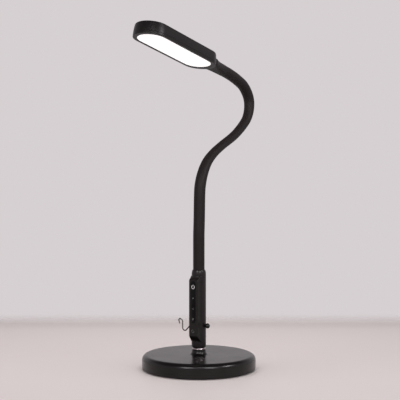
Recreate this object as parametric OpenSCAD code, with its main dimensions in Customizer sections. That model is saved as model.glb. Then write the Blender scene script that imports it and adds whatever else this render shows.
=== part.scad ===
// Table lamp with a bendable neck: a heavy round base, a grip with a touch panel and a side hook,
// a smooth neck set in an S bend and a flat light head with round ends.
// Millimetres, +Z up, origin at the middle of the underside. The head and the panel face -Y, and the neck
// lies in the plane x = 0.

/* [Base] */
// Diameter of the base
base_d = 230; // [190:1:300]
// Height of the base's flat top above the table
base_h = 29; // [27:0.5:40]
// Radius of the rounded top rim
rim_r = 10; // [5:0.5:12]
// Wall of the base cover
cover_wall = 1.6; // [1.2:0.1:2.4]
// Thickness of the iron weight
weight_t = 10; // [6:0.5:14]
// Thickness of the anti-slip pad
pad_h = 2; // [1:0.5:4]
// Distance from the base's edge to the pad's edge
pad_inset = 15; // [5:1:40]
// Thickness of the bottom plate
plate_t = 2; // [1.5:0.5:3]
// Thread of the screws that hold the bottom plate
base_screw_d = 4; // [3:0.5:5]
// Distance from the base's edge to the screws
base_screw_inset = 30; // [24:1:45]
// Number of screws in the bottom plate
base_screw_count = 4; // [3:1:8]
// Diameter of the flared boss at its top
boss_d = 26.6; // [22:0.2:32]
// Height of the boss above the base's top
boss_h = 9; // [5:0.5:16]
// How far the foot of the boss spreads past its top
boss_flare = 4.4; // [1:0.2:10]
// Diameter of the bright collar on the boss
collar_d = 26; // [20:0.5:30]
// Height of the bright collar
collar_h = 5; // [3:0.5:10]
// Thread of the stud between the base and the grip
stud_d = 10; // [8:1:12]

/* [Grip] */
// Diameter of the grip
grip_d = 29.3; // [27:0.1:36]
// Height of the grip
grip_h = 157; // [150:1:200]
// Wall of the grip
grip_wall = 2.5; // [2:0.1:3]
// Rounding of the grip's lower edge
grip_edge_r = 3; // [1:0.5:5]
// Height of the rounded shoulder below the neck
shoulder_h = 10; // [4:0.5:16]
// Thickness of the grip's floor
floor_t = 8; // [5:0.5:12]
// Height of the solid crown that holds the neck's ferrule
crown_h = 24; // [18:1:30]
// Width of the raised panel
panel_w = 22.6; // [20:0.2:23]
// How far the panel's face stands out from the round grip
panel_proud = 5; // [3:0.1:7]
// Height of the panel's lower end above the grip's foot
panel_low = 12.5; // [11:0.5:16]
// Length of the panel
panel_len = 132; // [126:0.5:134]
// Length of the panel's lower slope
slope_low = 10; // [7:0.5:13]
// Length of the panel's upper slope
slope_high = 7.5; // [5:0.5:9]
// Rounding of the panel's long edges
panel_edge_r = 3.5; // [1:0.5:5]
// Wall of the panel
panel_wall = 2; // [1.5:0.1:2.5]

/* [Controls] */
// Width of the glossy touch strip
strip_w = 12; // [9:0.5:13]
// Length of the touch strip
strip_l = 85; // [75:1:88]
// Thickness of the touch strip
strip_t = 1; // [0.6:0.1:1.4]
// Depth of the strip's recess in the panel
strip_sink = 0.8; // [0.4:0.1:1]
// Height of the strip's middle above the grip's foot
strip_mid = 92.5; // [90:0.5:94]
// Height of the lowest touch key above the grip's foot
key_low = 58; // [56:0.5:62]
// Distance between touch keys
key_pitch = 21; // [18:0.5:24]
// Number of touch keys
key_count = 3; // [1:1:3]
// Diameter of the round push key
button_d = 7.4; // [6:0.2:9]
// Height of the round push key above the grip's foot
button_h = 34.4; // [34:0.2:38]
// Travel of the round push key
button_travel = 0.6; // [0.3:0.1:0.8]
// How far the round push key stands out of the panel
button_proud = 0.9; // [0.6:0.1:2]
// Thickness of the control board
board_t = 1.6; // [1:0.2:2]
// Height of the power inlet above the grip's foot
inlet_h = 19; // [18:0.5:24]
// Diameter of the power inlet's socket
inlet_d = 5.6; // [5:0.1:6]

/* [Hook] */
// Diameter of the hook's wire
wire_d = 2.4; // [1.8:0.1:3.2]
// Height of the hook's shank above the grip's foot
hook_h = 44.5; // [40:0.5:60]
// Distance from the grip's surface to the hook's first bend
hook_out = 2.9; // [2.4:0.1:8]
// Depth of the hook's dip below its shank, along the wire
hook_dip = 16; // [8:0.5:20]
// Radius of the hook's dip
dip_r = 5.6; // [4:0.1:9]
// Length of the hook's upright
hook_rise = 15.3; // [12:0.1:30]
// Radius of the hook's crest
crest_r = 5; // [4.5:0.1:8]
// Length of the hook's tip
tip_l = 5.5; // [4:0.5:7]
// Diameter of the ball knob
knob_d = 9.6; // [8:0.1:11]
// Distance from the grip's surface to the ball's middle
knob_out = 6.8; // [6:0.2:10]

/* [Neck] */
// Height of the neck's straight foot
neck_rise = 160; // [140:1:180]
// Bend of the foot's upper third
rise_angle = 6.5; // [0:0.5:10]
// Radius of the lower bend
lower_r = 110.5; // [90:0.5:140]
// Angle of the lower bend
lower_angle = 56; // [45:1:65]
// Length of the run between the bends
neck_run = 131; // [110:1:150]
// Bend of the run's upper half
run_angle = 14.5; // [0:0.5:20]
// Radius of the upper bend
upper_r = 49; // [46:1:70]
// Angle of the upper bend
upper_angle = 118; // [105:1:130]
// Radius of the slight bend before the head
last_r = 420; // [350:5:500]
// Angle of the slight bend before the head
last_angle = 10; // [8:0.5:12]
// Diameter of the neck at its foot
neck_foot_d = 22.8; // [21:0.2:23]
// Diameter of the neck at its waist
neck_waist_d = 18.4; // [18:0.2:22]
// Diameter of the neck at the head
neck_top_d = 22.6; // [20:0.2:23]
// Diameter of the metal core
core_d = 11; // [9:0.5:11.5]
// Largest tilt that the neck's seats leave room for
tilt_room = 36; // [30:1:40]

/* [Head] */
// Length of the head
head_l = 225; // [200:1:260]
// Width of the head
head_w = 71.7; // [66:0.1:80]
// Thickness of the head
head_t = 25; // [22:0.2:29]
// Rounding of the head's top edge
head_edge_r = 3; // [1:0.5:5]
// Wall of the head's housing
head_wall = 2; // [1.5:0.1:2.4]
// Height of the underside frame
bezel_h = 5; // [4:0.5:6]
// Thickness of the frame's lip under the diffuser
lip_t = 1.2; // [0.8:0.1:1.6]
// Margin between the head's ends and the visible diffuser
light_end = 10.6; // [10:0.1:20]
// Margin between the head's sides and the visible diffuser
light_side = 6.6; // [5:0.1:9]
// How far the diffuser is moved towards the head's tip
light_shift = 3.5; // [2:0.5:5]
// Thickness of the light guide
guide_t = 3; // [2:0.5:4]
// Number of LEDs along each edge
led_count = 16; // [6:1:20]
// Height of the neck's axis above the head's underside
head_axis = 12.5; // [11.5:0.1:13]
// Length of the tail between the neck and the head
tail_len = 51; // [42:1:65]
// Width of the tail where it meets the head
tail_w = 44; // [34:1:48]
// Height of the tail where it meets the head
tail_h = 17; // [12:0.5:17.5]

/* [Fits] */
// Gap between pieces that move on each other
play = 0.3; // [0.2:0.05:0.4]
// Gap between fixed pieces that fit together
fit = 0.05; // [0.02:0.01:0.1]
// Gap round a shaft or key that turns or slides in its bore
running = 0.1; // [0.05:0.01:0.15]

/* [Hidden] */
$fn = 64;
eps = 1;

// Base
base_r = base_d/2;
plate_z = pad_h;
weight_z = plate_z + plate_t;
weight_gap = 0.5;
top_under = base_h - cover_wall;
stud_r = stud_d/2;
boss_z = base_h + boss_h;
grip_z = boss_z + collar_h;
post_wall = 3;
screw_post_r = base_screw_d/2 + post_wall;
screw_len = 12;
nut_h = 0.8*stud_d;
nut_r = 0.92*stud_d;
washer_t = 1.5;
washer_rim = 2;
washer_r = nut_r + washer_rim;
nut_gap = 1;
pocket_room = 1;
pocket_r = washer_r + pocket_room;
hub_wall = 8;
hub_r = pocket_r + hub_wall;
washer_z = weight_z + nut_gap + nut_h;

// Grip
grip_r = grip_d/2;
grip_in = grip_r - grip_wall;
neck_z = grip_z + grip_h;
core_r = core_d/2;
insert_wall = 3;
insert_r = stud_r + insert_wall;
insert_flange = 2;
ferrule_wall = 2.5;
ferrule_r = core_r + ferrule_wall;
ferrule_flange = 2;
crown_lip = 0.5;
panel_margin = 0.5;
panel_seat = sqrt(grip_r*grip_r - pow(panel_w/2 + panel_margin, 2));
panel_face = grip_r + panel_proud;
panel_in = panel_face - panel_wall;
panel_z0 = grip_z + panel_low;
panel_z1 = panel_z0 + panel_len;
pocket_z0 = panel_z0 + slope_low;
pocket_z1 = panel_z1 - slope_high;
slope_foot = 1;
grub_r = 2;
grub_z = neck_z - crown_h/2;

// Controls
board_gap = 0.1;
board_end = 1.5;
board_w = panel_w - 2*panel_wall - 2*board_gap;
board_front = panel_seat + board_t;
board_z0 = pocket_z0 + board_end;
board_z1 = min(pocket_z1 - board_end, neck_z - crown_h - ferrule_flange - play);
button_r = button_d/2;
button_z = grip_z + button_h;
button_rim = 1.1;
button_flange_r = button_r + button_rim;
button_flange_t = 1;
stem_r = 2;
switch_w = 6;
switch_h = 3;
plunger_r = 1.6;
plunger_room = 0.2;
switch_front = board_front + switch_h;
plunger_back = board_front + plunger_room + button_travel + running;
stem_end = switch_front + button_travel + running;
spring_r = 4;
spring_wall = 0.8;
inlet_z = grip_z + inlet_h;
inlet_wall = 2.2;
inlet_body_r = inlet_d/2 + inlet_wall;
inlet_rim = 1.5;
inlet_flange_r = inlet_body_r + inlet_rim;
inlet_depth = 9;
inlet_flange_t = 1.4;
inlet_seat = grip_r - inlet_flange_t;
inlet_pin_r = 1;

// Hook
wire_r = wire_d/2;
hook_z = grip_z + hook_h;
first_bend_r = 4;
dip_angle = 45;
crest_angle = 198;
stop_r = 3.2;
stop_t = 1.6;
tip_swell = 0.3;
tip_ball_r = wire_r + tip_swell;
bend_lap = 0.3;
bend_swell = 0.03;
knob_x = grip_r + knob_out;
knob_r = knob_d/2;
shank_reach = 1;
shank_end = knob_x + shank_reach;

// Neck: twelve sections, each [length, bend], where a positive bend turns the neck away from the front
third = 1/3;
lower_l = lower_r*lower_angle*PI/180*third;
upper_l = upper_r*upper_angle*PI/180*third;
last_l = last_r*last_angle*PI/180;
sections = concat(
    [for (bend = [0, 0, rise_angle]) [neck_rise*third, bend]],
    [for (k = [1:3]) [lower_l, lower_angle*third]],
    [for (bend = [0, -run_angle]) [neck_run/2, bend]],
    [for (k = [1:3]) [upper_l, -upper_angle*third]],
    [[last_l, -last_angle]]);
section_count = len(sections);
last = section_count - 1;
waist_section = floor(section_count/2);
shoulder = 0.5;
core_lap = 2.5;

// Joints between the sections: those listed sway sideways, the others bend forwards and backwards
sways = [2, 6, 11];
tongue_r = 4.2;
tongue_w = 5.6;
tongue_t = 3.8;
slot_w = tongue_t + 2*play;
slot_dip = 0.5;
pin_r = 2;
pin_hold = 1.2;
core_reach = 12;
tail_grip = tail_len + core_reach;

// Head
head_r = head_w/2;
light_l = head_l - 2*light_end;
light_w = head_w - 2*light_side;
head_in_r = head_r - head_wall;
bezel_edge_r = 1;
diffuser_lap = 2;
diffuser_t = 1.5;
diffuser_sink = 0.4;
guide_z = lip_t + diffuser_t;
reflector_z = guide_z + guide_t;
reflector_t = 0.5;
heat_z = reflector_z + reflector_t;
heat_t = 1.5;
led_t = 1.4;
led_w = 3;
led_h = 1.6;
strip_board_t = 1;
heat_side = 3;
tail_lip = 0.7;
tail_r = neck_top_d/2 + tail_lip;
tail_root = 14;
tail_slice_count = 6;
tail_corner = 7;
head_nut_t = 5;
head_nut_wall = 3.5;
head_nut_r = core_r + head_nut_wall;
head_screw_r = 1.25;
head_post_r = 3.2;
head_screw_x = 17;
head_screw_inset = 11;
head_screw_y = head_l/2 - head_screw_inset;

// Shared shapes

// Points of an arc round c, from angle a0 to angle a1
function arc(c, r, a0, a1, n = 10) =
    [for (k = [0:n]) c + r*[cos(a0 + (a1 - a0)*k/n), sin(a0 + (a1 - a0)*k/n)]];

// Smooth step from 0 to 1
function ease(t) = let (u = min(max(t, 0), 1)) u*u*(3 - 2*u);

// Ring from z to z + h
module ring(r_out, r_in, z, h) {
    translate([0, 0, z])
        linear_extrude(h)
            difference() {
                circle(r_out);
                circle(r_in);
            }
}

// Cylinder along -Y, from y = -near to y = -far
module peg_y(r, near, far, z) {
    translate([0, -near, z])
        rotate([90, 0, 0])
            cylinder(r = r, h = far - near);
}

// Body with a straight middle and round ends along Y, from a profile of [distance from the axis, height]
module oval_body(profile, l, w) {
    middle = l - w;
    for (side = [0, 1])
        rotate(180*side)
            translate([0, middle/2, 0])
                rotate_extrude(angle = 180)
                    polygon(profile);
    translate([0, middle/2, 0])
        rotate([90, 0, 0])
            linear_extrude(middle) {
                polygon(profile);
                mirror([1, 0])
                    polygon(profile);
            }
}

// Flat plate with round ends
module oval_plate(l, w, z, h) {
    oval_body([[0, z], [w/2, z], [w/2, z + h], [0, z + h]], l, w);
}

// Flat shape drawn out over length l, which starts along +Z and turns by bend degrees towards +Y
module along(l, bend) {
    if (bend == 0)
        linear_extrude(l)
            children();
    else {
        turn = abs(bend);
        radius = l/(turn*PI/180);
        mirror([0, bend < 0 ? 1 : 0, 0])
            translate([0, radius, 0])
                rotate([0, 90, 0])
                    rotate([0, 0, -90 - turn])
                        rotate_extrude(angle = turn)
                            translate([radius, 0])
                                children();
    }
}

// Round bar along that line
module bar(r, l, bend) {
    along(l, bend)
        circle(r);
}

// Tube along that line
module tube(r_out, r_in, l, bend) {
    along(l, bend)
        difference() {
            circle(r_out);
            circle(r_in);
        }
}

// Base

module at_base_screws() {
    for (k = [0:base_screw_count - 1])
        rotate(45 + 360*k/base_screw_count)
            translate([base_r - base_screw_inset, 0, 0])
                children();
}

// Countersunk screw with its head's face at z = 0, pointing up
module countersunk(r, head_h, l) {
    cylinder(r1 = 2*r, r2 = r, h = head_h);
    cylinder(r = r, h = l);
}

module foot_pad() {
    color("#1b1b1b")
        cylinder(r = base_r - pad_inset, h = pad_h);
}

module base_plate() {
    color("dimgray")
        difference() {
            translate([0, 0, plate_z])
                cylinder(r = base_r - cover_wall - weight_gap, h = plate_t);
            at_base_screws()
                translate([0, 0, plate_z])
                    countersunk(base_screw_d/2 + fit, plate_t, plate_t + eps);
        }
}

// Iron disc with a hub that reaches up to the cover
module base_weight() {
    color("#3a3a3c")
        difference() {
            translate([0, 0, weight_z]) {
                cylinder(r = base_r - cover_wall - weight_gap, h = weight_t);
                cylinder(r = hub_r, h = top_under - weight_z);
            }
            cylinder(r = stud_r + weight_gap, h = base_h);
            translate([0, 0, weight_z - eps])
                cylinder(r = pocket_r, h = washer_z + washer_t - weight_z + eps);
            at_base_screws()
                cylinder(r = screw_post_r + weight_gap, h = base_h);
        }
}

module base_cover() {
    rim = [base_r - rim_r, base_h - rim_r];
    boss_r = boss_d/2;
    color("#161616") {
        rotate_extrude()
            polygon(concat(
                [[base_r - cover_wall, plate_z], [base_r, plate_z]],
                arc(rim, rim_r, 0, 90),
                [for (a = [0:15:90]) [boss_r + boss_flare*(1 - sin(a)), base_h + boss_h*(1 - cos(a))]],
                [[stud_r + running, boss_z], [stud_r + running, top_under]],
                arc(rim, rim_r - cover_wall, 90, 0)));
        at_base_screws()
            ring(screw_post_r, base_screw_d/2, weight_z, top_under - weight_z + fit);
    }
}

module base_screws() {
    color("silver")
        at_base_screws()
            translate([0, 0, plate_z])
                countersunk(base_screw_d/2 - fit, plate_t, screw_len);
}

module base_stud() {
    color("silver")
        translate([0, 0, weight_z + nut_gap/2])
            cylinder(r = stud_r - fit, h = grip_z + floor_t - weight_z - nut_gap/2);
}

module stud_washer() {
    color("silver")
        ring(washer_r, stud_r + running, washer_z, washer_t);
}

module stud_nut() {
    color("silver")
        difference() {
            translate([0, 0, washer_z - nut_h])
                cylinder(r = nut_r, h = nut_h, $fn = 6);
            translate([0, 0, washer_z - nut_h - eps])
                cylinder(r = stud_r, h = nut_h + 2*eps);
        }
}

module collar() {
    r = collar_d/2;
    edge = collar_h/4;
    color("#e8e8ea")
        rotate_extrude()
            polygon(concat(
                [[stud_r + running, boss_z]],
                arc([r - edge, boss_z + edge], edge, -90, 0, 6),
                arc([r - edge, grip_z - edge], edge, 0, 90, 6),
                [[stud_r + running, grip_z]]));
}

// Grip

// Outline of the grip, turned round its axis
module grip_profile() {
    top_r = neck_foot_d/2 + crown_lip;
    polygon(concat(
        [[insert_r, grip_z]],
        arc([grip_r - grip_edge_r, grip_z + grip_edge_r], grip_edge_r, -90, 0, 6),
        [for (a = [0:10:90]) [top_r + (grip_r - top_r)*cos(a), neck_z - shoulder_h*(1 - sin(a))]],
        [[ferrule_r, neck_z], [ferrule_r, neck_z - crown_h], [grip_in, neck_z - crown_h],
         [grip_in, grip_z + floor_t], [insert_r, grip_z + floor_t]]));
}

// Front of the grip, where the panel takes the place of the round wall
module panel_front(gap) {
    translate([-grip_d, -grip_d - panel_seat, panel_z0 - gap])
        cube([2*grip_d, grip_d, panel_len + 2*gap]);
}

module handle_shell() {
    color("#1a1a1b")
        difference() {
            rotate_extrude()
                grip_profile();
            panel_front(fit);
            translate([-grip_d, 0, hook_z])
                rotate([0, 90, 0])
                    cylinder(r = wire_r + running, h = 2*grip_d);
            peg_y(inlet_body_r + fit, -grip_d, 0, inlet_z);
            peg_y(inlet_flange_r + fit, -grip_d, -inlet_seat, inlet_z);
            peg_y(grub_r + fit, -grip_d, 0, grub_z);
        }
}

// Raised bar of the panel, with round long edges and sloped ends
module panel_bar() {
    half = panel_w/2;
    edge = [half - panel_edge_r, panel_face - panel_edge_r];
    front = concat([[half, panel_seat]], arc(edge, panel_edge_r, 0, 90, 6));
    intersection() {
        translate([0, 0, panel_z0])
            linear_extrude(panel_len)
                for (side = [0, 1])
                    mirror([side, 0])
                        polygon(concat(
                            [[0, -panel_seat]],
                            [for (p = front) [p[0], -p[1]]],
                            [[0, -panel_face]]));
        translate([-panel_w, 0, 0])
            rotate([90, 0, 90])
                linear_extrude(2*panel_w)
                    polygon([
                        [-panel_seat, panel_z0], [-panel_seat - slope_foot, panel_z0],
                        [-panel_face - fit, pocket_z0], [-panel_face - fit, pocket_z1],
                        [-panel_seat - slope_foot, panel_z1], [-panel_seat, panel_z1]]);
    }
}

// Flat bar with round ends that stands upright on the panel's face
module strip_shape(w, l, near, far) {
    translate([0, -near, grip_z + strip_mid])
        rotate([90, 90, 0])
            linear_extrude(far - near)
                polygon(concat(
                    arc([l/2 - w/2, 0], w/2, -90, 90, 16),
                    arc([w/2 - l/2, 0], w/2, 90, 270, 16)));
}

module panel_cover() {
    pocket_w = panel_w - 2*panel_wall;
    color("#171718")
        difference() {
            union() {
                intersection() {
                    translate([0, 0, panel_z0])
                        cylinder(r = grip_r, h = panel_len);
                    panel_front(0);
                }
                panel_bar();
            }
            translate([-pocket_w/2, -panel_in, pocket_z0])
                cube([pocket_w, panel_in, pocket_z1 - pocket_z0]);
            strip_shape(strip_w + 2*fit, strip_l + 2*fit, panel_face - strip_sink, panel_face + eps);
            peg_y(button_r + running, panel_in - eps, panel_face + eps, button_z);
        }
}

module touch_strip() {
    color("#0a0a0c")
        strip_shape(strip_w, strip_l, panel_face - strip_sink, panel_face - strip_sink + strip_t);
}

module power_button() {
    color("#2a2a2c") {
        peg_y(button_r, panel_in - fit, panel_face + button_proud, button_z);
        peg_y(button_flange_r, panel_in - fit - button_flange_t, panel_in - fit, button_z);
        peg_y(stem_r, stem_end, panel_in - fit - button_flange_t, button_z);
    }
}

module switch_plunger() {
    color("#d8d2c0")
        peg_y(plunger_r, plunger_back, stem_end, button_z);
}

module tact_switch() {
    color("#303034")
        difference() {
            translate([-switch_w/2, -switch_front, button_z - switch_w/2])
                cube([switch_w, switch_h, switch_w]);
            peg_y(plunger_r + running, plunger_back - button_travel - running, switch_front + eps, button_z);
        }
}

module control_board() {
    chip_w = 7;
    chip_t = 1.2;
    can_r = 3;
    can_l = 8;
    solder = 0.3;
    color("#1f5b3a") {
        translate([-board_w/2, -board_front, board_z0])
            cube([board_w, board_t, board_z1 - board_z0]);
        translate([-chip_w/2, -panel_seat - solder, strip_mid + grip_z])
            cube([chip_w, chip_t + solder, chip_w]);
        peg_y(can_r, panel_seat - can_l, panel_seat + solder, grip_z + strip_mid + 3*chip_w);
    }
}

module touch_springs() {
    color("silver")
        for (k = [0:key_count - 1])
            let (z = grip_z + key_low + k*key_pitch)
                difference() {
                    peg_y(spring_r, board_front, panel_in, z);
                    peg_y(spring_r - spring_wall, board_front - eps, panel_in + eps, z);
                }
}

module pole_insert() {
    color("#b08d3c") {
        ring(insert_r - fit, stud_r, grip_z, floor_t);
        ring(insert_r + insert_flange, stud_r, grip_z + floor_t, insert_flange);
    }
}

module power_inlet() {
    mouth = -inlet_seat - inlet_flange_t;
    color("#0d0d0d") {
        difference() {
            union() {
                peg_y(inlet_body_r, -inlet_seat, eps - inlet_seat + inlet_depth, inlet_z);
                peg_y(inlet_flange_r, mouth, -inlet_seat, inlet_z);
            }
            peg_y(inlet_d/2, mouth - eps, mouth + inlet_depth, inlet_z);
        }
        peg_y(inlet_pin_r, mouth + eps, mouth + inlet_depth, inlet_z);
    }
}

// Wire that starts along +Z: each run is [straight length, bend radius, bend angle towards +X].
// A bend is a hair thicker than the straights and laps over their ends.
module wire(runs, k = 0) {
    length = runs[k][0];
    radius = runs[k][1];
    turn = runs[k][2];
    centre = turn < 0 ? -radius : radius;
    lap = sign(turn)*bend_lap/max(radius, bend_lap)*180/PI;
    cylinder(r = wire_r, h = length);
    translate([0, 0, length]) {
        if (turn != 0)
            translate([centre, 0, 0])
                rotate([0, -lap, 0])
                    translate([-centre, 0, 0])
                        rotate(-90)
                            bar(wire_r + bend_swell, radius*abs(turn + 2*lap)*PI/180, turn + 2*lap);
        translate([centre, 0, 0])
            rotate([0, turn, 0])
                translate([-centre, 0, 0])
                    if (k + 1 < len(runs))
                        wire(runs, k + 1);
                    else
                        sphere(tip_ball_r);
    }
}

module hook() {
    color("#dcdce0") {
        translate([shank_end, 0, hook_z])
            rotate([0, -90, 0])
                wire([
                    [shank_end + grip_r + hook_out, first_bend_r, -dip_angle],
                    [hook_dip, dip_r, dip_angle + 90],
                    [hook_rise, crest_r, -crest_angle],
                    [tip_l, 0, 0]]);
        translate([-grip_r - play - stop_t, 0, hook_z])
            rotate([0, 90, 0])
                cylinder(r = stop_r, h = stop_t);
    }
}

module hook_knob() {
    stem = grip_r + play;
    color("#141414")
        translate([0, 0, hook_z])
            rotate([0, 90, 0])
                difference() {
                    union() {
                        translate([0, 0, knob_x])
                            sphere(knob_r);
                        translate([0, 0, stem])
                            cylinder(r = stop_r, h = knob_x - stem);
                    }
                    translate([0, 0, stem - eps])
                        cylinder(r = wire_r + running, h = shank_end + play - stem + eps);
                }
}

module neck_ferrule() {
    color("silver")
        difference() {
            union() {
                ring(ferrule_r - fit, core_r + fit, neck_z - crown_h, crown_h);
                ring(ferrule_r + ferrule_flange, core_r + fit,
                    neck_z - crown_h - ferrule_flange, ferrule_flange);
            }
            peg_y(grub_r + fit, -grip_d, 0, grub_z);
        }
}

module grub_screw() {
    color("silver")
        peg_y(grub_r - fit, 1 - grip_r, -core_r - fit, grub_z);
}

// Neck

// Heading at the start of section k, in degrees from +Z towards +Y
function heading(k) = k == 0 ? 0 : heading(k - 1) + sections[k - 1][1];

// Step in [y, z] along a section of length l that starts at angle a and turns by bend
function step(l, a, bend) =
    bend == 0
    ? l*[sin(a), cos(a)]
    : l/(bend*PI/180)*[cos(a) - cos(a + bend), sin(a + bend) - sin(a)];

// Start of section k in [y, z]
function start(k) =
    k == 0 ? [0, neck_z] : start(k - 1) + step(sections[k - 1][0], heading(k - 1), sections[k - 1][1]);

// Radius of section k: full at the foot, slim at the waist, full again at the head
function neck_r(k) =
    k <= waist_section
    ? (neck_foot_d + (neck_waist_d - neck_foot_d)*ease((k - 1)/(waist_section - 1)))/2
    : (neck_waist_d + (neck_top_d - neck_waist_d)
        *ease((k - waist_section - 0.5)/(last - waist_section - 1.5)))/2;

// Radius of the round nose at the end of section k, and of the seat that turns on it
function nose_r(k) = neck_r(k) - shoulder;
function seat_r(k) = nose_r(k - 1) + play;

// Frame at the start of section k, with +Z along the neck
module at_section(k) {
    p = start(k);
    translate([0, p[0], p[1]])
        rotate([-heading(k), 0, 0])
            children();
}

// Frame at the joint before section k, with +Z along the neck and +X along the pin
module at_pin(k) {
    at_section(k)
        rotate(len(search(k, sways)) > 0 ? 90 : 0)
            children();
}

// Flat shape with its own X along the neck, drawn out by w along the pin
module across(w) {
    rotate([0, -90, 0])
        linear_extrude(w, center = true)
            children();
}

// Everything below height h in the section's own frame
module below(h) {
    size = 4*neck_foot_d;
    translate([-size/2, -size/2, h - size])
        cube(size);
}

module neck_sleeve(k) {
    l = sections[k][0];
    bend = sections[k][1];
    color("#1c1c1d")
        at_section(k)
            difference() {
                tube(neck_r(k), core_r + fit, l, bend);
                if (k > 0) {
                    sphere(seat_r(k));
                    below(seat_r(k)*sin(tilt_room));
                }
            }
}

// Tongue that hangs section k on the pin before it
module tongue(k) {
    at_pin(k)
        across(tongue_t)
            difference() {
                union() {
                    circle(tongue_r);
                    translate([0, -tongue_w/2])
                        square([seat_r(k) + core_lap, tongue_w]);
                }
                circle(pin_r + running);
            }
}

// Slot in the nose of section k, open at the top so that the next section's tongue can swing
module tongue_slot(k) {
    at_pin(k + 1)
        across(slot_w) {
            circle(tongue_r + play);
            translate([-slot_dip, -neck_foot_d])
                square([neck_foot_d, 2*neck_foot_d]);
        }
}

// Bar of section k, with a seat for the nose before it and a nose or a stub after it
module core_bar(k) {
    l = sections[k][0] + core_lap;
    bend = sections[k][1]*l/sections[k][0];
    at_section(k)
        difference() {
            bar(core_r, l, bend);
            if (k > 0)
                sphere(seat_r(k));
        }
    if (k == 0)
        translate([0, 0, neck_z - crown_h])
            cylinder(r = core_r - fit, h = crown_h + core_lap);
    at_section(k + 1)
        if (k < last)
            difference() {
                sphere(nose_r(k));
                below(0);
            }
        else
            cylinder(r = core_r - 2*fit, h = tail_grip);
}

module neck_core(k) {
    color("#8d8f94") {
        difference() {
            core_bar(k);
            if (k < last)
                tongue_slot(k);
        }
        if (k < last)
            at_pin(k + 1)
                across(slot_w + 2*pin_hold)
                    circle(pin_r);
        if (k > 0)
            tongue(k);
    }
}

// Head: its own frame has the underside at z = 0, the tip at -Y and the neck's axis at z = head_axis

module at_head() {
    at_section(section_count)
        rotate([-90, 0, 0])
            translate([0, -head_l/2 - tail_len, -head_axis])
                children();
}

// Rounded corners of the tail's section at the share t of its length, from the neck to the head
module tail_slice(t) {
    flare = t*t;
    w = 2*tail_r + (tail_w - 2*tail_r)*flare;
    h = 2*tail_r + (tail_h - 2*tail_r)*ease(t);
    corner = tail_r + (tail_corner - tail_r)*t;
    slice = 0.5;
    y = head_l/2 + tail_len - (tail_len + tail_root - slice)*t;
    for (x = [corner - w/2, w/2 - corner], z = [corner - h/2, h/2 - corner])
        translate([x, y, head_axis + z])
            rotate([90, 0, 0])
                cylinder(r = corner, h = slice, $fn = 32);
}

module tail_core_bore() {
    translate([0, head_l/2 + tail_len + eps, head_axis])
        rotate([90, 0, 0])
            cylinder(r = core_r + fit, h = 2*tail_len);
}

module head_tail() {
    color("#1c1c1d")
        at_head()
            difference() {
                for (k = [0:tail_slice_count - 1])
                    hull() {
                        tail_slice(k/tail_slice_count);
                        tail_slice((k + 1)/tail_slice_count);
                    }
                translate([0, head_l/2 - head_r, -eps])
                    cylinder(r = head_r + fit, h = head_t + 2*eps);
                tail_core_bore();
            }
}

module tail_nut() {
    reach = head_in_r - sqrt(head_in_r*head_in_r - head_nut_r*head_nut_r);
    color("silver")
        at_head()
            translate([0, head_l/2 - head_wall - reach - fit, head_axis])
                rotate([90, 0, 0])
                    difference() {
                        cylinder(r = head_nut_r, h = head_nut_t, $fn = 6);
                        translate([0, 0, -eps])
                            cylinder(r = core_r + fit, h = head_nut_t + 2*eps);
                    }
}

module at_head_screws() {
    for (side = [-1, 1])
        translate([side*head_screw_x, head_screw_y, 0])
            children();
}

module head_housing() {
    edge = [head_r - head_edge_r, head_t - head_edge_r];
    roof = head_t - head_wall;
    color("#191919")
        at_head()
            difference() {
                union() {
                    difference() {
                        oval_body(concat(
                            [[0, bezel_h], [head_r, bezel_h]],
                            arc(edge, head_edge_r, 0, 90, 6),
                            [[0, head_t]]), head_l, head_w);
                        oval_plate(head_l - 2*head_wall, head_w - 2*head_wall,
                            bezel_h - eps, roof - bezel_h + eps);
                    }
                    at_head_screws()
                        ring(head_post_r, head_screw_r, lip_t, roof - lip_t + fit);
                }
                tail_core_bore();
            }
}

module head_bezel() {
    edge = [head_r - bezel_edge_r, bezel_edge_r];
    color("#1d1d1d")
        at_head()
            difference() {
                oval_body(concat(
                    [[0, 0]],
                    arc(edge, bezel_edge_r, -90, 0, 4),
                    [[head_r, bezel_h], [0, bezel_h]]), head_l, head_w);
                oval_plate(head_l - 2*head_wall, head_w - 2*head_wall, lip_t, bezel_h);
                translate([0, -light_shift, 0])
                    oval_plate(light_l, light_w, -eps, lip_t + 2*eps);
                at_head_screws()
                    countersunk(head_screw_r + fit, lip_t, bezel_h);
            }
}

module at_light() {
    at_head()
        translate([0, -light_shift, 0])
            children();
}

module diffuser() {
    color("white")
        at_light() {
            oval_plate(light_l + 2*diffuser_lap, light_w + 2*diffuser_lap, lip_t, diffuser_t);
            oval_plate(light_l - 2*fit, light_w - 2*fit, diffuser_sink, lip_t - diffuser_sink);
        }
}

module light_guide() {
    color("#dfe9f2")
        at_light()
            oval_plate(light_l, light_w, guide_z, guide_t);
}

module reflector() {
    color("#f4f4f4")
        at_light()
            oval_plate(light_l, light_w, reflector_z, reflector_t);
}

module led_strips() {
    strip_len = light_l - light_w;
    color("#e9e4d2")
        at_light()
            for (side = [0, 1])
                mirror([side, 0, 0])
                    translate([light_w/2 + fit + led_t, -strip_len/2, guide_z])
                        cube([strip_board_t, strip_len, guide_t + reflector_t]);
}

module leds() {
    pitch = (light_l - light_w)/led_count;
    color("#ffe9a0")
        at_light()
            for (side = [0, 1], k = [0:led_count - 1])
                mirror([side, 0, 0])
                    translate([
                        light_w/2 + fit,
                        (k + 0.5 - led_count/2)*pitch - led_w/2,
                        guide_z + (guide_t - led_h)/2])
                            cube([led_t, led_w, led_h]);
}

module heat_plate() {
    color("#b9bcc0")
        at_light()
            oval_plate(light_l, light_w + 2*heat_side, heat_z, heat_t);
}

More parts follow.
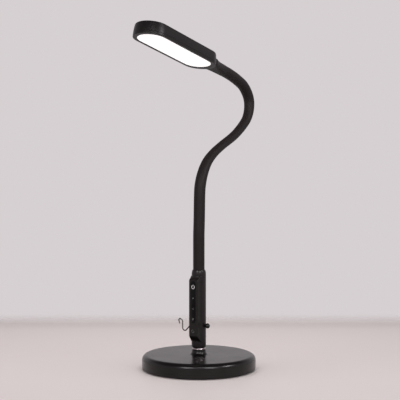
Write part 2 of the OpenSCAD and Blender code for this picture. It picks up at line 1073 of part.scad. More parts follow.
module head_screws() {
    color("#222222")
        at_head()
            at_head_screws()
                countersunk(head_screw_r - fit, lip_t, screw_len);
}

foot_pad();
base_plate();
base_weight();
base_cover();
base_screws();
base_stud();
stud_washer();
stud_nut();
collar();
handle_shell();
panel_cover();
touch_strip();
power_button();
switch_plunger();
tact_switch();
control_board();
touch_springs();
pole_insert();
power_inlet();
hook();
hook_knob();
neck_ferrule();
grub_screw();
for (k = [0:last]) {
    neck_sleeve(k);
    neck_core(k);
}
head_tail();
tail_nut();
head_housing();
head_bezel();
diffuser();
light_guide();
reflector();
led_strips();
leds();
heat_plate();
head_screws();
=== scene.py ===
"""Looks of a gooseneck lamp: round base, grip with a touch panel, side hook, bending neck and flat head."""

import logging
import math
from dataclasses import dataclass, field
from enum import Enum
from typing import Any, Mapping, Sequence, Union

import bmesh
import bpy
from mathutils import Matrix, Vector


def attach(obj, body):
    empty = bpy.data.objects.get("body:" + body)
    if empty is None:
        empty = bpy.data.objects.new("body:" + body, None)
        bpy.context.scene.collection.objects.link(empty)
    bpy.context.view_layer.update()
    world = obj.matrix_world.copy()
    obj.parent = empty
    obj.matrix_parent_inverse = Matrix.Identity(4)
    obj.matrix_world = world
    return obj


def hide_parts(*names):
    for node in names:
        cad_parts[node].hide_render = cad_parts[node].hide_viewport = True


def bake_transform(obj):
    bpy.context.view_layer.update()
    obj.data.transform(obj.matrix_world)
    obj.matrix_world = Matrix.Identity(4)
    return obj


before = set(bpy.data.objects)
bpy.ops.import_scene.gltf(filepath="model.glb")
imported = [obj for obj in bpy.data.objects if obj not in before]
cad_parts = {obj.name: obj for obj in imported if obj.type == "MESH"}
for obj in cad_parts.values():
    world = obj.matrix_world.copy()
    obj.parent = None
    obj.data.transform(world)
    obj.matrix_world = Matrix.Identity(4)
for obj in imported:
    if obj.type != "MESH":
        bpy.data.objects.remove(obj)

LOG = logging.getLogger("lamp")
MM = 0.001  # metres in a millimetre
CREASE = 32.0  # degrees from which an edge of a new piece stays sharp
AXLE = 0.02  # radius left open where a turned piece meets its axis
BEVEL_SHARES = (0.3, 0.7, 1.0)  # places of the rings that round a bevel
Flat = tuple[float, float]
Triple = tuple[float, float, float]
Colour = Triple
Stop = tuple[Vector, Vector, float]


class Axis(Enum):
    """Direction that a form's own Z takes."""

    SIDE = Matrix(((0, 0, 1, 0), (1, 0, 0, 0), (0, 1, 0, 0), (0, 0, 0, 1)))
    FRONT = Matrix(((1, 0, 0, 0), (0, 0, -1, 0), (0, 1, 0, 0), (0, 0, 0, 1)))

    def at(self, height: float) -> Matrix:
        """Frame on the grip's axis at a height, with its own Z in this direction."""
        return Matrix.Translation((0, 0, height)) @ self.value


class Role(Enum):
    """What a light is for."""

    FILL = "light without a reflection"
    SHEEN = "reflection without further light"


class Aim(Enum):
    """What a light faces, as a point in metres."""

    STAND = (0.0, 0.0, 0.1)
    HEAD = (0.0, -0.1, 0.64)


class Body(str, Enum):
    """Moving bodies of the lamp that carry pieces by name."""

    STAND = "stand"
    BUTTON = "button"
    HOOK = "hook"
    KNOB = "knob"
    HEAD = "head"


def ease(share: float) -> float:
    """Smooth step from 0 to 1."""
    u = min(max(share, 0.0), 1.0)
    return u*u*(3 - 2*u)


def soft_min(a: float, b: float, width: float) -> float:
    """Smaller of two values, with the corner between them rounded over a width."""
    near = max(width - abs(a - b), 0.0)/width
    return min(a, b) - near*near*width/4


def soft_max(a: float, b: float, width: float) -> float:
    """Larger of two values, with the corner between them rounded over a width."""
    return -soft_min(-a, -b, width)


def spread(sides: int) -> list[float]:
    """Equal turns all the way round, in radians."""
    return [2*math.pi*k/sides for k in range(sides)]


def arc(centre: Flat, radius: float, start: float, end: float, steps: int = 8) -> list[Flat]:
    """Points of an arc.

    Args:
        centre: Middle of the arc.
        radius: Radius in millimetres.
        start: First angle in degrees.
        end: Last angle in degrees.
        steps: Count of equal steps.

    Returns:
        The points in order, both ends included.
    """
    turns = [math.radians(start + (end - start)*k/steps) for k in range(steps + 1)]
    return [(centre[0] + radius*math.cos(a), centre[1] + radius*math.sin(a)) for a in turns]


def rounded(corners: Sequence[Triple], steps: int = 6) -> list[Flat]:
    """Closed outline whose corners are rounded.

    Args:
        corners: Corners as (x, y, radius), where a radius of 0 leaves the corner sharp.
        steps: Count of steps in each rounded corner.

    Returns:
        The outline's points in order.
    """
    outline: list[Flat] = []
    for k, (x, y, radius) in enumerate(corners):
        here = Vector((x, y))
        if radius == 0:
            outline.append((x, y))
            continue
        back = (Vector(corners[k - 1][:2]) - here).normalized()
        on = (Vector(corners[(k + 1) % len(corners)][:2]) - here).normalized()
        half = back.angle(on)/2
        centre = here + (back + on).normalized()*radius/math.sin(half)
        first = here + back*radius/math.tan(half) - centre
        final = here + on*radius/math.tan(half) - centre
        a0 = math.atan2(first.y, first.x)
        swing = math.remainder(math.atan2(final.y, final.x) - a0, 2*math.pi)
        outline += arc(tuple(centre), radius, math.degrees(a0), math.degrees(a0 + swing), steps)
    return outline


def block(width: float, height: float, corner: float, steps: int) -> list[Flat]:
    """Rectangle round the origin with rounded corners.

    Args:
        width: Size along X.
        height: Size along Y.
        corner: Radius of its corners.
        steps: Count of steps in each corner.

    Returns:
        The outline's points, the same count for any size.
    """
    x, y = width/2, height/2
    return rounded([(-x, -y, corner), (x, -y, corner), (x, y, corner), (-x, y, corner)], steps)


def oval(length: float, width: float, steps: int = 32) -> list[Flat]:
    """Outline with straight sides along Y and round ends.

    Args:
        length: Length over the round ends.
        width: Width, which is also the diameter of the ends.
        steps: Count of steps in each end.

    Returns:
        The outline's points, the same count for any size.
    """
    reach = (length - width)/2
    return arc((0, reach), width/2, 0, 180, steps) + arc((0, -reach), width/2, 180, 360, steps)


def lifted(outline: Sequence[Flat], height: float, shift: float = 0.0) -> list[Vector]:
    """Ring of an outline at a height, shifted along Y."""
    return [Vector((x, y + shift, height)) for x, y in outline]


class Socket:
    """Shader value that can stand in a Python expression."""

    def __init__(self, tree: "Tree", out: bpy.types.NodeSocket) -> None:
        """Wraps one output of a node."""
        self.tree = tree
        self.out = out

    def combine(self, operation: str, first: "Value", second: "Value") -> "Socket":
        """Math node of two values."""
        return self.tree.node("ShaderNodeMath", {"operation": operation}, {0: first, 1: second})

    def __add__(self, other: "Value") -> "Socket":
        """Sum."""
        return self.combine("ADD", self, other)

    def __radd__(self, other: "Value") -> "Socket":
        """Sum, reflected."""
        return self.combine("ADD", other, self)

    def __sub__(self, other: "Value") -> "Socket":
        """Difference."""
        return self.combine("SUBTRACT", self, other)

    def __rsub__(self, other: "Value") -> "Socket":
        """Difference, reflected."""
        return self.combine("SUBTRACT", other, self)

    def __mul__(self, other: "Value") -> "Socket":
        """Product."""
        return self.combine("MULTIPLY", self, other)

    def __rmul__(self, other: "Value") -> "Socket":
        """Product, reflected."""
        return self.combine("MULTIPLY", other, self)


Value = Union[Socket, float, Sequence[float]]


class Tree:
    """Node tree that is filled from Python expressions."""

    def __init__(self, tree: bpy.types.NodeTree) -> None:
        """Starts from an empty tree."""
        self.tree = tree
        self.tree.nodes.clear()

    def node(self, kind: str, settings: Mapping[str, Any] | None = None,
             inputs: Mapping[str | int, Value] | None = None, out: str | int = 0) -> Socket | None:
        """Adds a node.

        Args:
            kind: Node type.
            settings: Attributes, set first.
            inputs: Socket values or links, by name or index.
            out: Output to hand back.

        Returns:
            The chosen output, or None for a node that has none.
        """
        made = self.tree.nodes.new(kind)
        for key, value in (settings or {}).items():
            setattr(made, key, value)
        for key, value in (inputs or {}).items():
            self.feed(made.inputs[key], value)
        return Socket(self, made.outputs[out]) if made.outputs else None

    def feed(self, socket: bpy.types.NodeSocket, value: Value) -> None:
        """Links a value to a socket, or sets it there.

        Args:
            socket: Input of a node.
            value: Another node's output, a number, a vector or a colour.
        """
        if isinstance(value, Socket):
            self.tree.links.new(value.out, socket)
        elif isinstance(value, (int, float)):
            socket.default_value = value
        else:
            socket.default_value = (*value, 1.0) if socket.type == "RGBA" else tuple(value)

    def part(self, vector: Socket, name: str) -> Socket:
        """One part of a vector."""
        return self.node("ShaderNodeSeparateXYZ", None, {0: vector}, name)

    def band(self, value: Socket, low: float, high: float) -> Socket:
        """Smooth rise from 0 at low to 1 at high."""
        return self.node("ShaderNodeMapRange", {"interpolation_type": "SMOOTHSTEP"},
                         {"Value": value, "From Min": low, "From Max": high})

    def tint(self, share: Socket, plain: Colour, full: Colour) -> Socket:
        """Colour that goes from plain to full with a share."""
        return self.node("ShaderNodeMix", {"data_type": "RGBA"}, {0: share, 6: plain, 7: full}, 2)


class Recipe(Tree):
    """Material of one finish, with the textures that finishes share."""

    def __init__(self, name: str) -> None:
        """Makes the material with its main shader.

        Args:
            name: Name of the material.
        """
        self.material = bpy.data.materials.new(name)
        self.material.use_nodes = True
        super().__init__(self.material.node_tree)
        shader = self.node("ShaderNodeBsdfPrincipled")
        self.shader = shader.out.node
        self.node("ShaderNodeOutputMaterial", None, {"Surface": shader})
        self.place = self.node("ShaderNodeTexCoord", None, None, "Object")

    def set(self, values: Mapping[str, Value]) -> None:
        """Sets or links the main shader's sockets by name."""
        for name, value in values.items():
            self.feed(self.shader.inputs[name], value)

    def stretched(self, scale: Triple) -> Socket:
        """Place on the piece, scaled by its own amount along each axis."""
        return self.node("ShaderNodeVectorMath", {"operation": "MULTIPLY"}, {0: self.place, 1: scale})

    def noise(self, scale: float, detail: float = 2.0, place: Socket | None = None) -> Socket:
        """Soft noise from 0 to 1, with a scale in cycles for each metre."""
        return self.node("ShaderNodeTexNoise", None,
                         {"Vector": place or self.place, "Scale": scale, "Detail": detail}, "Fac")

    def swing(self, noise: Socket, amount: float) -> Socket:
        """Change up and down round zero with a noise, an amount from end to end."""
        return (noise - 0.5)*amount

    def cells(self, scale: float) -> Socket:
        """Distance to the nearest of scattered points."""
        return self.node("ShaderNodeTexVoronoi", None, {"Vector": self.place, "Scale": scale}, "Distance")

    def bump(self, height: Socket, depth: float) -> Socket:
        """Normal of a surface whose height varies by a depth in metres."""
        return self.node("ShaderNodeBump", None, {"Height": height, "Distance": depth, "Strength": 1.0})

    def upward(self) -> Socket:
        """Height part of the surface's own direction, 1 where it faces up."""
        return self.part(self.node("ShaderNodeNewGeometry", None, None, "Normal"), "Z")


@dataclass(frozen=True)
class Finish:
    """What a surface is made of."""

    name: str
    colour: Colour
    roughness: float

    def paint(self) -> bpy.types.Material:
        """Material of this finish, made at its first use.

        Returns:
            The material, the same one for every piece of this finish.
        """
        known = bpy.data.materials.get(self.name)
        if known is None:
            recipe = Recipe(self.name)
            self.mix(recipe)
            known = recipe.material
        return known

    def mix(self, recipe: Recipe) -> None:
        """Fills the recipe of this finish."""
        raise NotImplementedError

    def lighter(self, amount: float) -> Colour:
        """This finish's colour with an amount added to each part."""
        return tuple(part + amount for part in self.colour)

    def times(self, share: float) -> Colour:
        """This finish's colour with each part multiplied by a share."""
        return tuple(part*share for part in self.colour)


@dataclass(frozen=True)
class SatinPaint(Finish):
    """Sprayed paint on metal, with a faint orange peel and a little dust on top."""

    gloss: float = 0.28
    peel: float = 420.0
    peel_depth: float = 0.000012
    smudges: float = 22.0
    smudge_swing: float = 0.09
    specks: float = 190.0
    patches: float = 60.0
    dust_cover: float = 0.35
    dust_pale: float = 0.1
    dust_matt: float = 0.2

    def mix(self, recipe: Recipe) -> None:
        """Fills the recipe of this finish.

        Args:
            recipe: Recipe to fill.
        """
        peel = recipe.noise(self.peel, 1.0)
        smudge = recipe.noise(self.smudges, 3.0)
        specks = 1 - recipe.band(recipe.cells(self.specks), 0.04, 0.11)
        facing = recipe.band(recipe.upward(), 0.75, 0.98)
        dust = specks*facing*recipe.band(recipe.noise(self.patches), 0.5, 0.7)
        recipe.set({
            "Base Color": recipe.tint(dust*self.dust_cover, self.colour, self.lighter(self.dust_pale)),
            "Roughness": self.roughness + recipe.swing(smudge, self.smudge_swing) + dust*self.dust_matt,
            "Specular IOR Level": self.gloss,
            "Normal": recipe.bump(peel, self.peel_depth)})


@dataclass(frozen=True)
class MouldedPlastic(Finish):
    """Injection-moulded plastic with an eroded texture."""

    gloss: float = 0.25
    grain: float = 1500.0
    grain_depth: float = 0.000012
    grain_pale: float = 0.004
    grain_swing: float = 0.06
    handling: float = 35.0
    handling_swing: float = 0.12

    def mix(self, recipe: Recipe) -> None:
        """Fills the recipe of this finish.

        Args:
            recipe: Recipe to fill.
        """
        grain = recipe.noise(self.grain, 3.0)
        handled = recipe.swing(recipe.noise(self.handling, 3.0), self.handling_swing)
        recipe.set({
            "Base Color": recipe.tint(grain, self.colour, self.lighter(self.grain_pale)),
            "Roughness": self.roughness + handled + recipe.swing(grain, self.grain_swing),
            "Specular IOR Level": self.gloss,
            "Normal": recipe.bump(grain, self.grain_depth)})


@dataclass(frozen=True)
class Silicone(Finish):
    """Drawn silicone sleeve: smooth, with faint lint and long soft waves."""

    gloss: float = 0.16
    skin: float = 900.0
    skin_swing: float = 0.05
    skin_share: float = 0.3
    wave: float = 45.0
    wave_swing: float = 0.1
    depth: float = 0.00002
    lint: float = 240.0
    lint_cover: float = 0.12
    lint_pale: float = 0.06
    patches: float = 70.0

    def mix(self, recipe: Recipe) -> None:
        """Fills the recipe of this finish.

        Args:
            recipe: Recipe to fill.
        """
        skin = recipe.noise(self.skin)
        wave = recipe.noise(self.wave, 1.0)
        lint = 1 - recipe.band(recipe.cells(self.lint), 0.03, 0.09)
        caught = lint*recipe.band(recipe.noise(self.patches), 0.52, 0.7)
        waved = self.roughness + recipe.swing(wave, self.wave_swing)
        recipe.set({
            "Base Color": recipe.tint(caught*self.lint_cover, self.colour, self.lighter(self.lint_pale)),
            "Roughness": waved + recipe.swing(skin, self.skin_swing),
            "Specular IOR Level": self.gloss,
            "Normal": recipe.bump(skin*self.skin_share + wave, self.depth)})


@dataclass(frozen=True)
class GlossPanel(Finish):
    """Polished black panel with wiped finger marks."""

    gloss: float = 0.12
    wipes: Triple = (60.0, 60.0, 22.0)
    hairlines: Triple = (2600.0, 2600.0, 90.0)
    hairline_matt: float = 0.05
    mark_pale: float = 0.004
    mark_matt: float = 0.12
    depth: float = 0.000004

    def mix(self, recipe: Recipe) -> None:
        """Fills the recipe of this finish.

        Args:
            recipe: Recipe to fill.
        """
        wiped = recipe.noise(1.0, 4.0, recipe.stretched(self.wipes))
        marks = recipe.band(wiped, 0.48, 0.72)
        hair = recipe.band(recipe.noise(1.0, 1.0, recipe.stretched(self.hairlines)), 0.62, 0.7)
        recipe.set({
            "Base Color": recipe.tint(marks, self.colour, self.lighter(self.mark_pale)),
            "Roughness": self.roughness + marks*self.mark_matt + hair*self.hairline_matt,
            "Specular IOR Level": self.gloss,
            "Normal": recipe.bump(wiped, self.depth)})


@dataclass(frozen=True)
class Metal(Finish):
    """Bare or plated metal with a brushed, cast or polished skin."""

    brushed: Triple = (300.0, 300.0, 4000.0)
    depth: float = 0.000004
    stain: float = 0.1
    stain_cover: float = 4.0
    stain_dark: float = 0.72
    cloud: float = 80.0

    def mix(self, recipe: Recipe) -> None:
        """Fills the recipe of this finish.

        Args:
            recipe: Recipe to fill.
        """
        lines = recipe.noise(1.0, 2.0, recipe.stretched(self.brushed))
        cloud = recipe.noise(self.cloud, 3.0)
        dull = recipe.band(cloud, 0.45, 0.8)*(self.stain*self.stain_cover)
        brushed = self.roughness + recipe.swing(lines, self.stain)
        recipe.set({
            "Base Color": recipe.tint(dull, self.colour, self.times(self.stain_dark)),
            "Metallic": 1.0,
            "Roughness": brushed + recipe.swing(cloud, self.stain),
            "Normal": recipe.bump(lines, self.depth)})


@dataclass(frozen=True)
class PrintInk(Finish):
    """Screen-printed ink, a little uneven, with a painted glow that lights it though it is no lamp."""

    painted_glow: float = 0.0
    cover: float = 2200.0
    cover_swing: float = 0.1
    thin: float = 0.7
    depth: float = 0.000006

    def mix(self, recipe: Recipe) -> None:
        """Fills the recipe of this finish.

        Args:
            recipe: Recipe to fill.
        """
        cover = recipe.noise(self.cover, 3.0)
        shade = recipe.tint(cover, self.times(self.thin), self.colour)
        recipe.set({
            "Base Color": shade,
            "Roughness": self.roughness + recipe.swing(cover, self.cover_swing),
            "Normal": recipe.bump(cover, self.depth),
            # Painted glow: the ink emits light though it is no lamp.
            "Emission Color": shade,
            "Emission Strength": self.painted_glow})


@dataclass(frozen=True)
class GlowPanel(Finish):
    """Opal panel lit from its edges, with a faint mottle."""

    strength: float = 0.6
    mottle: float = 120.0
    mottle_dark: float = 0.95
    fine: float = 1800.0
    fine_swing: float = 0.08
    depth: float = 0.000006

    def mix(self, recipe: Recipe) -> None:
        """Fills the recipe of this finish.

        Args:
            recipe: Recipe to fill.
        """
        fine = recipe.noise(self.fine, 1.0)
        shade = recipe.tint(recipe.noise(self.mottle), self.colour, self.times(self.mottle_dark))
        recipe.set({
            "Base Color": shade,
            "Roughness": self.roughness + recipe.swing(fine, self.fine_swing),
            "Normal": recipe.bump(fine, self.depth),
            "Emission Color": shade,
            "Emission Strength": self.strength})


@dataclass(frozen=True)
class RibbedRubber(Finish):
    """Soft rubber with fine round ribs against slipping."""

    ribs: float = 90.0
    rib_depth: float = 0.0002
    chalk: float = 160.0
    chalk_pale: float = 0.02
    chalk_swing: float = 0.15

    def mix(self, recipe: Recipe) -> None:
        """Fills the recipe of this finish.

        Args:
            recipe: Recipe to fill.
        """
        ribs = recipe.node("ShaderNodeTexWave", {"wave_type": "RINGS", "rings_direction": "Z"},
                           {"Vector": recipe.place, "Scale": self.ribs}, "Fac")
        chalk = recipe.noise(self.chalk, 4.0)
        recipe.set({
            "Base Color": recipe.tint(chalk, self.colour, self.lighter(self.chalk_pale)),
            "Roughness": self.roughness + recipe.swing(chalk, self.chalk_swing),
            "Normal": recipe.bump(ribs, self.rib_depth)})


@dataclass(frozen=True)
class SolderMask(Finish):
    """Green lacquer over copper tracks."""

    tracks: float = 120.0
    track_width: float = 0.06
    track_pale: float = 0.05
    track_depth: float = 0.00003
    fine: float = 900.0
    fine_swing: float = 0.1

    def mix(self, recipe: Recipe) -> None:
        """Fills the recipe of this finish.

        Args:
            recipe: Recipe to fill.
        """
        tracks = recipe.node("ShaderNodeTexBrick", {"offset": 0.5, "squash": 1.0},
                             {"Vector": recipe.stretched((1.0, 0.0, 1.0)), "Scale": self.tracks,
                              "Mortar Size": self.track_width}, "Fac")
        recipe.set({
            "Base Color": recipe.tint(tracks, self.colour, self.lighter(self.track_pale)),
            "Roughness": self.roughness + recipe.swing(recipe.noise(self.fine), self.fine_swing),
            "Normal": recipe.bump(tracks, self.track_depth)})


@dataclass(frozen=True)
class ClearSheet(Finish):
    """Clear acrylic with a dotted back."""

    dots: float = 400.0
    dot_colour: Colour = (1.0, 1.0, 1.0)
    dot_matt: float = 0.4
    clear: float = 0.9
    index: float = 1.49

    def mix(self, recipe: Recipe) -> None:
        """Fills the recipe of this finish.

        Args:
            recipe: Recipe to fill.
        """
        dots = 1 - recipe.band(recipe.cells(self.dots), 0.15, 0.25)
        recipe.set({
            "Base Color": recipe.tint(dots, self.colour, self.dot_colour),
            "Roughness": self.roughness + dots*self.dot_matt,
            "Transmission Weight": self.clear,
            "IOR": self.index})


class Paints:
    """Finishes of the lamp."""

    BASE = SatinPaint("base_satin_black", (0.005, 0.0038, 0.0037), 0.245)
    GRIP = MouldedPlastic("grip_moulded_black", (0.0118, 0.0074, 0.0082), 0.33)
    PANEL = MouldedPlastic("panel_moulded_black", (0.0082, 0.0054, 0.0056), 0.33)
    HEAD = MouldedPlastic("head_moulded_black", (0.0078, 0.0054, 0.006), 0.38, 0.17, 1500.0, 0.000007)
    # Painted light: the tail is the head's black plastic made lighter, so that its underside looks lit.
    TAIL_PAINTED_LIGHTER = MouldedPlastic("tail_black_painted_lighter", (0.01, 0.0068, 0.0072), 0.5, 0.18, 1500.0, 0.000007)
    KEY = MouldedPlastic("key_dark", (0.0075, 0.0062, 0.0062), 0.4)
    TOUCH = GlossPanel("touch_gloss_black", (0.0025, 0.0024, 0.0026), 0.08)
    KNOB = GlossPanel("knob_gloss_black", (0.004, 0.0039, 0.004), 0.2, 0.35)
    NECK = Silicone("neck_silicone", (0.0135, 0.0088, 0.0092), 0.55)
    CHROME = Metal("collar_chrome", (0.36, 0.31, 0.33), 0.16, (900.0, 900.0, 5000.0), 0.000002, 0.05)
    WIRE = Metal("hook_dark_chrome", (0.13, 0.115, 0.115), 0.22, (700.0, 700.0, 700.0), 0.000002, 0.06)
    STEEL = Metal("zinc_steel", (0.55, 0.55, 0.57), 0.34)
    IRON = Metal("cast_iron", (0.09, 0.09, 0.092), 0.62, (500.0, 500.0, 500.0), 0.00008, 0.2)
    BRASS = Metal("turned_brass", (0.6, 0.43, 0.16), 0.28)
    ALUMINIUM = Metal("plain_aluminium", (0.6, 0.61, 0.63), 0.36)
    # Both inks carry a painted glow, given by their last number, which lights the signs and the key ring
    # though they are no lamp.
    INK = PrintInk("panel_ink", (0.85, 0.83, 0.83), 0.5, 0.35)
    FAINT_INK = PrintInk("faint_panel_ink", (0.3, 0.29, 0.29), 0.5, 0.1)
    GLOW = GlowPanel("light_panel_opal", (1.0, 0.99, 0.985), 0.35)
    PAD = RibbedRubber("pad_rubber", (0.02, 0.02, 0.02), 0.8)
    MASK = SolderMask("board_green", (0.02, 0.12, 0.05), 0.3)
    CREAM = MouldedPlastic("plunger_cream", (0.62, 0.58, 0.46), 0.5)
    CLEAR = ClearSheet("guide_acrylic", (0.86, 0.92, 0.95), 0.05)
    FILM = MouldedPlastic("white_film", (0.86, 0.86, 0.86), 0.55, 0.5, 700.0, 0.00001)
    PHOSPHOR = GlowPanel("led_phosphor", (1.0, 0.86, 0.48), 0.3, 1.5)


class Form:
    """Closed skins that make up one piece, in millimetres of the lamp's frame."""

    def __init__(self, place: Matrix | None = None) -> None:
        """Starts empty, with the place of the form's own frame in the lamp's.

        Args:
            place: Frame of the form, or none for the lamp's own.
        """
        self.place = place or Matrix.Identity(4)
        self.points: list[Vector] = []
        self.faces: list[list[int]] = []

    def loft(self, rings: Sequence[Sequence[Vector]], loop: bool = False) -> "Form":
        """Skins a row of rings that have the same count of points.

        Args:
            rings: Rings in order.
            loop: Whether the last ring joins the first, where the ends are otherwise capped.

        Returns:
            The form itself.
        """
        first = len(self.points)
        count = len(rings[0])
        rows = len(rings)
        for row in rings:
            self.points.extend(self.place @ point for point in row)
        for i in range(rows if loop else rows - 1):
            low, high = first + i*count, first + (i + 1) % rows*count
            for k in range(count):
                m = (k + 1) % count
                self.faces.append([low + k, low + m, high + m, high + k])
        if not loop:
            self.faces.append([first + k for k in reversed(range(count))])
            self.faces.append([first + (rows - 1)*count + k for k in range(count)])
        return self

    def turned(self, profile: Sequence[Flat], sides: int = 96, loop: bool = True) -> "Form":
        """Turns a profile of (radius, height) round the form's own Z axis.

        Args:
            profile: Outline of half the section.
            sides: Count of points in each ring.
            loop: Whether the profile closes on itself.

        Returns:
            The form itself.
        """
        turns = spread(sides)
        rings = [[Vector((r*math.cos(a), r*math.sin(a), h)) for a in turns] for r, h in profile]
        return self.loft(rings, loop)

    def swept(self, stops: Sequence[Stop], side: Vector, sides: int) -> "Form":
        """Round bar along a flat line.

        Args:
            stops: Line as (point, direction, radius).
            side: Direction square to the line's plane.
            sides: Count of points in each ring.

        Returns:
            The form itself.
        """
        turns = spread(sides)
        rings = []
        for point, ahead, radius in stops:
            up = ahead.cross(side)
            rings.append([point + radius*(math.cos(a)*side + math.sin(a)*up) for a in turns])
        return self.loft(rings)

    def slab(self, outline: Sequence[Flat], low: float, high: float, edge: float = 0.0) -> "Form":
        """Flat plate of an outline, from one height to another.

        Args:
            outline: Outline round the form's own Z axis.
            low: Height of its back.
            high: Height of its face.
            edge: Width of the rounded bevel round its face.

        Returns:
            The form itself.
        """
        rings = [lifted(outline, low), lifted(outline, high - edge)]
        if edge:
            middle = sum((Vector(p) for p in outline), Vector((0, 0)))/len(outline)
            for share in BEVEL_SHARES:
                inset = edge*(1 - math.cos(share*math.pi/2))
                drawn = [tuple(Vector(p) - (Vector(p) - middle).normalized()*inset) for p in outline]
                rings.append(lifted(drawn, high - edge + edge*math.sin(share*math.pi/2)))
        return self.loft(rings)

    def shape(self, name: str) -> bpy.types.Object:
        """Plain mesh object of the form, with its faces turned outwards.

        Args:
            name: Name of the object and its mesh.

        Returns:
            The object, in place.
        """
        mesh = bpy.data.meshes.new(name)
        mesh.from_pydata([point*MM for point in self.points], [], self.faces)
        work = bmesh.new()
        work.from_mesh(mesh)
        bmesh.ops.recalc_face_normals(work, faces=work.faces)
        work.to_mesh(mesh)
        work.free()
        made = bpy.data.objects.new(name, mesh)
        bpy.context.scene.collection.objects.link(made)
        return made

    def piece(self, name: str, finish: Finish, cuts: Sequence["Form"] = ()) -> bpy.types.Object:
        """Finished piece of the form.

        Args:
            name: Name of the piece.
            finish: What it is made of.
            cuts: Forms that are taken out of it.

        Returns:
            The piece, in place.
        """
        made = self.shape(name)
        tools = [cut.shape(f"{name}_cut") for cut in cuts]
        for tool in tools:
            taken = made.modifiers.new("cut", "BOOLEAN")
            taken.operation = "DIFFERENCE"
            taken.object = tool
        if tools:
            whole = made.data
            graph = bpy.context.evaluated_depsgraph_get()
            made.data = bpy.data.meshes.new_from_object(made.evaluated_get(graph))
            made.data.name = name
            made.modifiers.clear()
            bpy.data.meshes.remove(whole)
            for tool in tools:
                bpy.data.meshes.remove(tool.data)
        dress(made.data, finish, CREASE)
        return made


def dress(mesh: bpy.types.Mesh, finish: Finish, crease: float) -> None:
    """Gives a mesh its finish, and smooth shading with some edges kept sharp.

    Args:
        mesh: Mesh of a piece or a node.
        finish: What it is made of.
        crease: Angle in degrees from which an edge stays sharp.
    """
    mesh.shade_smooth()
    mesh.set_sharp_from_angle(angle=math.radians(crease))
    mesh.materials.clear()
    mesh.materials.append(finish.paint())


def seat(piece: bpy.types.Object, body: Body, slot: str, *nodes: str) -> bpy.types.Object:
    """Lets a piece ride on a body in place of nodes.

    Args:
        piece: The piece, in place.
        body: Body that carries it.
        slot: Material slot; not used.
        nodes: Nodes that it stands for.

    Returns:
        The piece.
    """
    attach(piece, body.value)
    if nodes:
        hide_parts(*nodes)
    return piece


@dataclass
class Base:
    """Round weighted base with its bright collar, in millimetres."""

    radius: float = 115.0
    foot: float = 2.0
    foot_round: float = 0.8
    top: float = 29.0
    rim: float = 10.0
    wall: float = 1.6
    boss: float = 13.7
    boss_rise: float = 9.0
    boss_flare: float = 5.4
    boss_round: float = 0.5
    stud: float = 5.1
    collar: float = 13.5
    collar_top: float = 43.0
    collar_foot_round: float = 1.6
    collar_head_round: float = 2.8
    groove_drop: float = 0.6
    groove_half: float = 0.2
    groove_depth: float = 0.25
    top_shares: tuple[float, ...] = (0.8, 0.6, 0.4, 0.25)
    under_shares: tuple[float, ...] = (0.3, 0.6)

    def shell(self) -> bpy.types.Object:
        """Pressed cover with a rounded rim and a flared boss.

        Returns:
            The piece, seated.
        """
        centre = (self.radius - self.rim, self.top - self.rim)
        edge, bead = self.foot_round, self.boss_round
        boss_top, under = self.top + self.boss_rise, self.top - self.wall
        outline = arc((self.radius - edge, self.foot + edge), edge, -90, 0, 5)
        outline += arc(centre, self.rim, 0, 90, 24)
        outline += [(self.radius*share, self.top) for share in self.top_shares]
        for k in range(12):
            a = math.pi/2*k/12
            reach = self.boss + self.boss_flare*(1 - math.sin(a))
            outline.append((reach, self.top + self.boss_rise*(1 - math.cos(a))))
        outline += arc((self.boss - bead, boss_top - bead), bead, 0, 90, 4)
        outline += [(self.stud, boss_top), (self.stud, under)]
        outline += [(self.radius*share, under) for share in self.under_shares]
        outline += arc(centre, self.rim - self.wall, 90, 0, 12)
        outline += [(self.radius - self.wall, self.foot)]
        made = Form().turned(outline, 192).piece("base_shell", Paints.BASE)
        return seat(made, Body.STAND, "black_metal", "base_cover")

    def ring(self) -> bpy.types.Object:
        """Bright collar with a fine groove.

        Returns:
            The piece, seated.
        """
        low, high = self.top + self.boss_rise, self.collar_top
        groove, half = (low + high)/2 - self.groove_drop, self.groove_half
        outline = rounded([
            (self.stud, low, 0), (self.collar, low, self.collar_foot_round),
            (self.collar, groove - half, half), (self.collar - self.groove_depth, groove, half),
            (self.collar, groove + half, half), (self.collar, high, self.collar_head_round),
            (self.stud, high, 0)])
        made = Form().turned(outline).piece("collar_ring", Paints.CHROME)
        return seat(made, Body.STAND, "chrome", "collar")

    def build(self) -> list[bpy.types.Object]:
        """All pieces of the base."""
        return [self.shell(), self.ring()]


